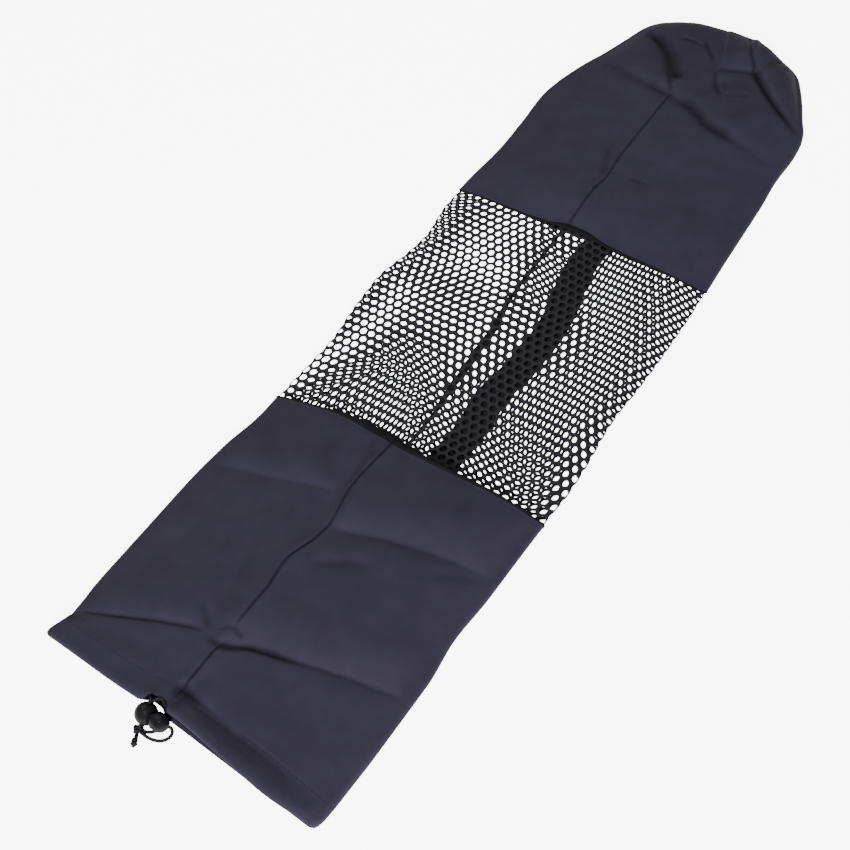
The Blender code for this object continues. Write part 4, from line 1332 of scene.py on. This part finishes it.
def endPiece():
    # the round end: rings from its seam to the tip, closed by a rounded edge
    # whose points lie at h/2 * sin(angle) outside the last ring
    shares = 1 - (1 - np.linspace(0, 1, nylonCloth["endRows"] + 1)) ** nylonCloth["endPull"]
    turns, outer, inner, dark = clothFaces(endCloth, shares, nylonCloth["endAcross"])
    across = nylonCloth["endAcross"] + 1
    folds = nylonCloth["folds"] - 1
    stations = len(turns)
    count = len(outer)
    rings = np.concatenate([inner[::-1], outer])
    marks = np.concatenate([flatMarks(outer)[::-1], flatMarks(outer)])
    shades = np.concatenate([dark[::-1], dark])
    extra = []
    capPoints = []
    for base, ring, isInner in (((2 * count - 1) * stations, outer[-1], False), (0, inner[-1], True)):
        top = ring[:across]
        under = ring[across + folds:2 * across + folds][::-1]
        u = np.linspace(-1, 1, across)
        angle = np.linspace(0, math.pi, folds + 2)[1:-1]
        out = np.stack([np.sign(u) * np.abs(u) ** 5, np.sqrt(1 - np.abs(u) ** 10)], -1)
        half = (top[:, 2] - under[:, 2]) / 2
        reach = half[None, :] * np.sin(angle)[:, None]
        middle = mix(top[None], under[None], ((1 - np.cos(angle)) / 2)[:, None, None])
        cap = middle.copy()
        cap[..., :2] += reach[..., None] * out
        start = len(rings) * stations + sum(len(part) for part in capPoints)
        capPoints.append(cap[:, 1:-1].reshape(-1, 3))
        grid = np.zeros((folds + 2, across), int)
        grid[0] = base + np.arange(across)
        grid[-1] = base + (across + folds + np.arange(across))[::-1]
        grid[1:-1, 1:-1] = start + np.arange(folds * (across - 2)).reshape(folds, across - 2)
        grid[1:-1, -1] = base + across + np.arange(folds)
        grid[1:-1, 0] = base + (2 * across + folds + np.arange(folds))[::-1]
        quads = np.stack([grid[:-1, :-1], grid[:-1, 1:], grid[1:, 1:], grid[1:, :-1]], -1)
        quads = quads.reshape(-1, 4)
        extra += (quads if isInner else quads[:, ::-1]).tolist()
    points = np.concatenate([rings.reshape(-1, 3), *capPoints])
    ringCorner, stationCorner = ringFaces(len(rings), stations, False)
    faces = ringCorner * stations + stationCorner % stations
    uvs = marks[ringCorner, stationCorner].reshape(-1, 2)
    capUvs = points[np.array(extra).ravel()][:, :2] * 0.001
    allShades = np.concatenate([shades.reshape(-1), np.zeros(len(points) - shades.size)])
    return makeMesh("end_nylon", points, faces.tolist() + extra, nylon,
                    np.concatenate([uvs, capUvs]), allShades)


def makeNylon():
    mouth = mouthPiece()
    base = basePiece()
    end = endPiece()
    for piece, node in ((mouth, "mouth_section"), (base, "base_section"), (end, "base_disc")):
        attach(piece, "bag")
        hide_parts(node)
    print("nylon made")


# The net and what is sewn to it

net = {
    "around": 63,
    "rows": 36,
    "rowPitch": 0.866,
    "half": 0.45,
    "hole": 0.73,
    "round": 0.6,
}


def netTurn(column):
    # cells are evenly spaced round the tube, so a fold takes its share of them
    return np.interp(column % net["around"], (0, 30.0, 31.0, 61.5, 63.0), (0, 1, 2, 3, 4))


def makeNet():
    # each cell is a hexagon with a rounded hole. Its rim is shared with its
    # neighbours, and the yarn is thickest there and thin at the hole
    around = net["around"]
    rows = net["rows"]
    row, column = np.meshgrid(np.arange(rows), np.arange(around), indexing="ij")
    centre = np.stack([column + 0.5 * (row % 2), row + 2 / 3.0], -1).reshape(-1, 1, 2).astype(float)
    corners = np.array([(0.5, -1 / 3), (0.5, 1 / 3), (0, 2 / 3),
                        (-0.5, 1 / 3), (-0.5, -1 / 3), (0, -2 / 3)])
    rim = np.stack([corners, (corners + np.roll(corners, -1, axis=0)) / 2], 1).reshape(12, 2)
    angle = np.arctan2(rim[:, 1] * net["rowPitch"], rim[:, 0])
    circle = np.stack([np.cos(angle) * 0.5, np.sin(angle) * 0.5 / net["rowPitch"]], -1)
    hole = net["hole"] * mix(rim, circle, net["round"])
    rimPoints = centre + rim
    holePoints = centre + hole
    total = rows + 1 / 3.0

    def place(pairs, height):
        # under the bag the rows lie almost a row further along than on top, so that
        # the holes of the two layers cross as in the photo
        turn = netTurn(pairs[..., 0])
        share = np.clip(pairs[..., 1] / total, 0, 1)
        back = np.clip(2.5 - 2 * np.abs(turn % 4 - 2.5), 0, 1)
        wave = (0.10 * np.sin(pairs[..., 0] * 0.55) + 0.9 * back) * np.sin(share * math.pi)
        share = np.clip(share + wave / rows, 0, 1)
        points = tubePoints(netCloth, turn, share)[0]
        return points + outwardAt(netCloth, turn, share) * height

    # rim points that fall together, also where the net closes, become one
    keys = np.stack([rimPoints[..., 0] % around * 4, rimPoints[..., 1] * 6], -1)
    keys = np.round(keys).astype(int)
    keys[..., 0] %= around * 4
    _, first, inverse = np.unique(keys.reshape(-1, 2), axis=0, return_index=True,
                                  return_inverse=True)
    rimPairs = rimPoints.reshape(-1, 2)[first]
    inverse = inverse.reshape(-1, 12)
    rimCount = len(rimPairs)
    cells = len(inverse)
    holePairs = holePoints.reshape(-1, 2)
    points = np.concatenate([
        place(rimPairs, net["half"]), place(rimPairs, -net["half"]),
        place(holePairs, net["half"] * 0.4), place(holePairs, -net["half"] * 0.4)])
    holeIndex = 2 * rimCount + np.arange(cells * 12).reshape(cells, 12)
    lowHole = holeIndex + cells * 12
    following = np.roll(np.arange(12), -1)
    top = np.stack([inverse, inverse[:, following], holeIndex[:, following], holeIndex], -1)
    low = np.stack([lowHole, lowHole[:, following], inverse[:, following] + rimCount,
                    inverse + rimCount], -1)
    wall = np.stack([holeIndex, holeIndex[:, following], lowHole[:, following], lowHole], -1)
    faces = np.concatenate([top.reshape(-1, 4), low.reshape(-1, 4), wall.reshape(-1, 4)])
    # the cut edges at both ends, where a rim side belongs to one cell only
    sides = np.stack([inverse, inverse[:, following]], -1).reshape(-1, 2)
    ordered = np.sort(sides, axis=1)
    _, index, counts = np.unique(ordered, axis=0, return_index=True, return_counts=True)
    lone = sides[index[counts == 1]]
    edge = np.stack([lone[:, 1], lone[:, 0], lone[:, 0] + rimCount, lone[:, 1] + rimCount], -1)
    faces = np.concatenate([faces, edge])
    piece = makeMesh("net_honeycomb", points, faces.tolist(), netYarn, sharp=70)
    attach(piece, "bag")
    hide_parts("net_section")
    print("net made,", cells, "cells")


bindings = {
    "across": 110,
    "folds": 8,
    "thick": 1.1,
    "proud": 0.35,
    "underWide": 1.6,
    # how wide the sewn edge is at each place across, on the net's side
    "mouthSide": (1.2, 1.4, 3.4, 5.4, 5.0, 4.2, 3.4, 2.8, 2.0, 1.4),
    "baseSide": (1.0, 1.0, 1.2, 1.4, 4.4, 4.8, 2.0, 1.4, 1.2, 1.0),
}


def bindingPiece(name, cloth, share, widths, sign):
    # a narrow wall round the tube that covers where the net meets the nylon
    turns = stationTurns(bindings["across"], bindings["folds"])
    shares = np.full(len(turns), share)
    base = tubePoints(cloth, turns, shares)[0]
    outward = outwardAt(cloth, turns, shares)
    u = np.interp(turns, (0, 1, 2, 3, 4), (-1, 1, 1, -1, -1))
    width = smoothCurve(u * 120, places, np.array(widths, float))
    width = np.where(turns < 1, width, bindings["underWide"]) + 0.25 * np.sin(turns * 61)
    level = bindings["proud"]
    low = level - bindings["thick"]
    # across the band: share of its width, and height off the cloth's outer face
    section = ((-0.25, level - 0.25), (-0.1, level), (0.5, level + 0.1), (0.9, level - 0.15),
               (1.0, (level + low) / 2), (0.9, low + 0.1), (0.5, low), (0.0, low), (-0.25, low + 0.1))
    rings = []
    for shareAcross, height in section:
        ring = base + outward * height
        ring[:, 1] += sign * shareAcross * width
        ring[:, 2] = np.maximum(ring[:, 2], 0.02)
        rings.append(ring)
    rings = np.stack(rings)
    if sign < 0:
        rings = rings[::-1]
    return ringMesh(name, rings, flatMarks(rings), binding)


netSeam = {
    "first": 252,
    "last": 515,
    "stations": 132,
    "turn": 0.47,
    "below": 1.1,
    "line": np.array([
        # along, x, half width
        (254, 3.0, 1.6),
        (272, 3.0, 1.8),
        (292, 3.0, 2.0),
        (322, 0.0, 2.8),
        (342, -1.0, 3.4),
        (362, -3.0, 3.4),
        (385, -4.0, 3.4),
        (405, -8.0, 2.8),
        (430, -12.0, 2.0),
        (462, -14.0, 1.9),
        (512, -16.0, 1.9),
    ]),
}


def netSeamPiece():
    # the net's own lengthwise seam: a narrow folded strip under the top layer
    along = np.linspace(netSeam["first"], netSeam["last"], netSeam["stations"])
    x = readTable(netSeam["line"], along) + 0.3 * np.sin(along / 3.1)
    half = readTable(netSeam["line"], along, 2) * (1 + 0.08 * np.sin(along / 2.3))
    section = np.array([(-1, 0), (-0.85, 0.35), (0, 0.5), (0.85, 0.35), (1, 0),
                        (0.85, -0.35), (0, -0.5), (-0.85, -0.35)])
    share = np.linspace(0, 1, len(along))
    z = tubePoints(netCloth, netSeam["turn"], share)[0][:, 2] - netSeam["below"]
    points = np.stack([
        x[:, None] + half[:, None] * section[:, 0],
        np.broadcast_to(along[:, None], (len(along), len(section))),
        z[:, None] + 0.9 * section[:, 1]], -1)
    ends = [face[::-1] for face in endCaps(len(along), len(section))]
    piece = ringMesh("net_seam", points, flatMarks(points), binding, extra=ends, wrapRings=False)
    piece.data.flip_normals()
    return piece


def makeSewnEdges():
    mouthSide = bindingPiece("binding_mouth_side", mouthCloth, 1.0, bindings["mouthSide"], 1)
    baseSide = bindingPiece("binding_base_side", baseCloth, 0.0, bindings["baseSide"], -1)
    seam = netSeamPiece()
    for piece in (mouthSide, baseSide, seam):
        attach(piece, "bag")
    print("sewn edges made")


# The shoulder strap

def makeStrap():
    # a flat webbing: a rounded section carried along the strap's line
    along = strapShape["start"] + strapShape["length"] * np.linspace(0, 1, strapShape["stations"])
    centre = strapX(along)
    half = strapShape["width"] / 2
    edgeRadius = strapShape["thick"] / 2
    edge = np.linspace(-math.pi / 2, math.pi / 2, 5)
    right = np.stack([half - edgeRadius + edgeRadius * np.cos(edge),
                      edgeRadius + edgeRadius * np.sin(edge)], -1)
    across = np.linspace(1, -1, 14)[1:-1] * (half - edgeRadius)
    # low ribs run along both faces
    rib = 0.05 * np.cos(across * 2.4) - 0.05
    over = np.stack([across, strapShape["thick"] + rib], -1)
    under = np.stack([-across, -rib], -1)
    left = (right * (-1, 1))[::-1]
    section = np.concatenate([right, over, left, under])
    slope = np.gradient(centre, along)
    size = np.sqrt(1 + slope**2)
    points = np.stack([
        centre[:, None] + section[None, :, 0] / size[:, None],
        along[:, None] - section[None, :, 0] * (slope / size)[:, None],
        np.broadcast_to(section[:, 1], (len(along), len(section)))], -1)
    ends = [face[::-1] for face in endCaps(len(along), len(section))]
    piece = ringMesh("strap_webbing", points, flatMarks(points), webbing, extra=ends, wrapRings=False)
    piece.data.flip_normals()
    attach(piece, "bag")
    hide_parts("strap")
    print("strap made")


# Stitches

stitch = {
    "length": 2.3,
    "pitch": 3.3,
    "radius": 0.13,
    "sides": 6,
    "lowest": 0.3,
    "rows": (
        # name, cloth, share of the cloth's length
        ("hem_stitches", mouthCloth, 0.074),
        ("net_edge_stitches_mouth", mouthCloth, 0.985),
        ("net_edge_stitches_base", baseCloth, 0.016),
        ("end_seam_stitches", baseCloth, 0.985),
    ),
}


def makeStitches():
    # a stitch is a short thread with tapered ends, laid on the cloth
    sides = stitch["sides"]
    inside = np.linspace(0, 1, 6)
    arch = np.sin(math.pi * inside)
    size = stitch["radius"] * (0.35 + 0.65 * arch)[:, None, None]
    angle = np.linspace(0, 2 * math.pi, sides, endpoint=False)[:, None]
    ring, station = ringFaces(len(inside), sides, False)
    quads = ring * sides + station % sides
    for name, cloth, share in stitch["rows"]:
        turns = np.linspace(0, 4, 3000, endpoint=False)
        points = tubePoints(cloth, turns, np.full(len(turns), share))[0]
        run = np.concatenate([[0], np.cumsum(np.linalg.norm(np.diff(points, axis=0), axis=1))])
        starts = np.arange(0, run[-1] - stitch["pitch"], stitch["pitch"])
        at = np.interp(starts[:, None] + inside * stitch["length"], run, turns)
        shares = np.full(at.shape, share)
        outward = outwardAt(cloth, at, shares)
        path = tubePoints(cloth, at, shares)[0]
        path = path + outward * (0.02 + 0.10 * arch)[None, :, None]
        path[..., 2] = np.maximum(path[..., 2], stitch["lowest"])
        tangent = np.gradient(path, axis=1)
        tangent /= np.linalg.norm(tangent, axis=-1, keepdims=True)
        sideways = np.cross(tangent, outward)
        spokes = np.cos(angle) * sideways[:, :, None] + np.sin(angle) * outward[:, :, None]
        rings = path[:, :, None] + size * spokes
        first = (np.arange(len(starts)) * len(inside) * sides)[:, None, None]
        faces = (quads + first).reshape(-1, 4).tolist()
        ends = (np.array(endCaps(len(inside), sides)) + first).reshape(-1, sides).tolist()
        piece = makeMesh(name, rings.reshape(-1, 3), faces + ends, thread, sharp=80)
        piece.data.flip_normals()
        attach(piece, "bag")
    print("stitches made")


# Floor and light

studio = {
    "floorHalf": 4000.0,
    "floorLevel": -0.4,
    "floor": (0.96, 0.96, 0.96),
    "glow": 7.0,
    "bounce": 0.1,
    "world": 0.20,
    "key": {"place": (1.9, -3.6, 1.75), "size": 1.2, "power": 455, "glossy": False},
    "top": {"place": (0.35, -0.75, 2.1), "size": 0.35, "power": 6, "glossy": True},
    "fill": {"place": (-1.6, 0.6, 2.0), "size": 2.0, "power": 14, "glossy": True},
}


def areaLight(name, setting):
    light = bpy.data.lights.new(name, "AREA")
    light.shape = "SQUARE"
    light.size = setting["size"]
    light.energy = setting["power"]
    lamp = bpy.data.objects.new(name, light)
    bpy.context.scene.collection.objects.link(lamp)
    place = Vector(setting["place"])
    turned = place.to_track_quat("Z", "Y").to_matrix().to_4x4()
    lamp.matrix_world = Matrix.Translation(place) @ turned
    lamp.visible_glossy = setting["glossy"]


def makeStudio():
    signs = np.array([(-1, -1, 0), (1, -1, 0), (1, 1, 0), (-1, 1, 0)])
    corners = signs * studio["floorHalf"] + (0, bagMiddle, studio["floorLevel"])
    floorMaterial = newMaterial("studio_floor", studio["floor"], 0.9, Specular_IOR_Level=0.0,
                                Emission_Color=(1, 1, 1, 1))
    # the floor glows where it is seen, and lights the bag's edges only faintly
    rays = addNode(floorMaterial, "ShaderNodeLightPath").outputs["Is Camera Ray"]
    intoShader(floorMaterial, Emission_Strength=spread(
        floorMaterial, rays, 0.0, 1.0, studio["bounce"], studio["glow"]))
    floor = makeMesh("floor", corners, [[0, 1, 2, 3]], floorMaterial)
    world = bpy.data.worlds.new("studio")
    world.use_nodes = True
    background = world.node_tree.nodes["Background"]
    background.inputs["Color"].default_value = (1, 1, 1, 1)
    # past the floor's edge the world is as pale as the floor, and lights the bag as softly
    seen = addNode(world, "ShaderNodeLightPath").outputs["Is Camera Ray"]
    strength = spread(world, seen, 0.0, 1.0, studio["world"], studio["glow"])
    join(world, (strength, background.inputs["Strength"]))
    bpy.context.scene.world = world
    for name in ("key", "top", "fill"):
        areaLight(name, studio[name])
    print("studio made")


makeStudio()
makeNylon()
makeNet()
makeSewnEdges()
makeStrap()
makeStitches()
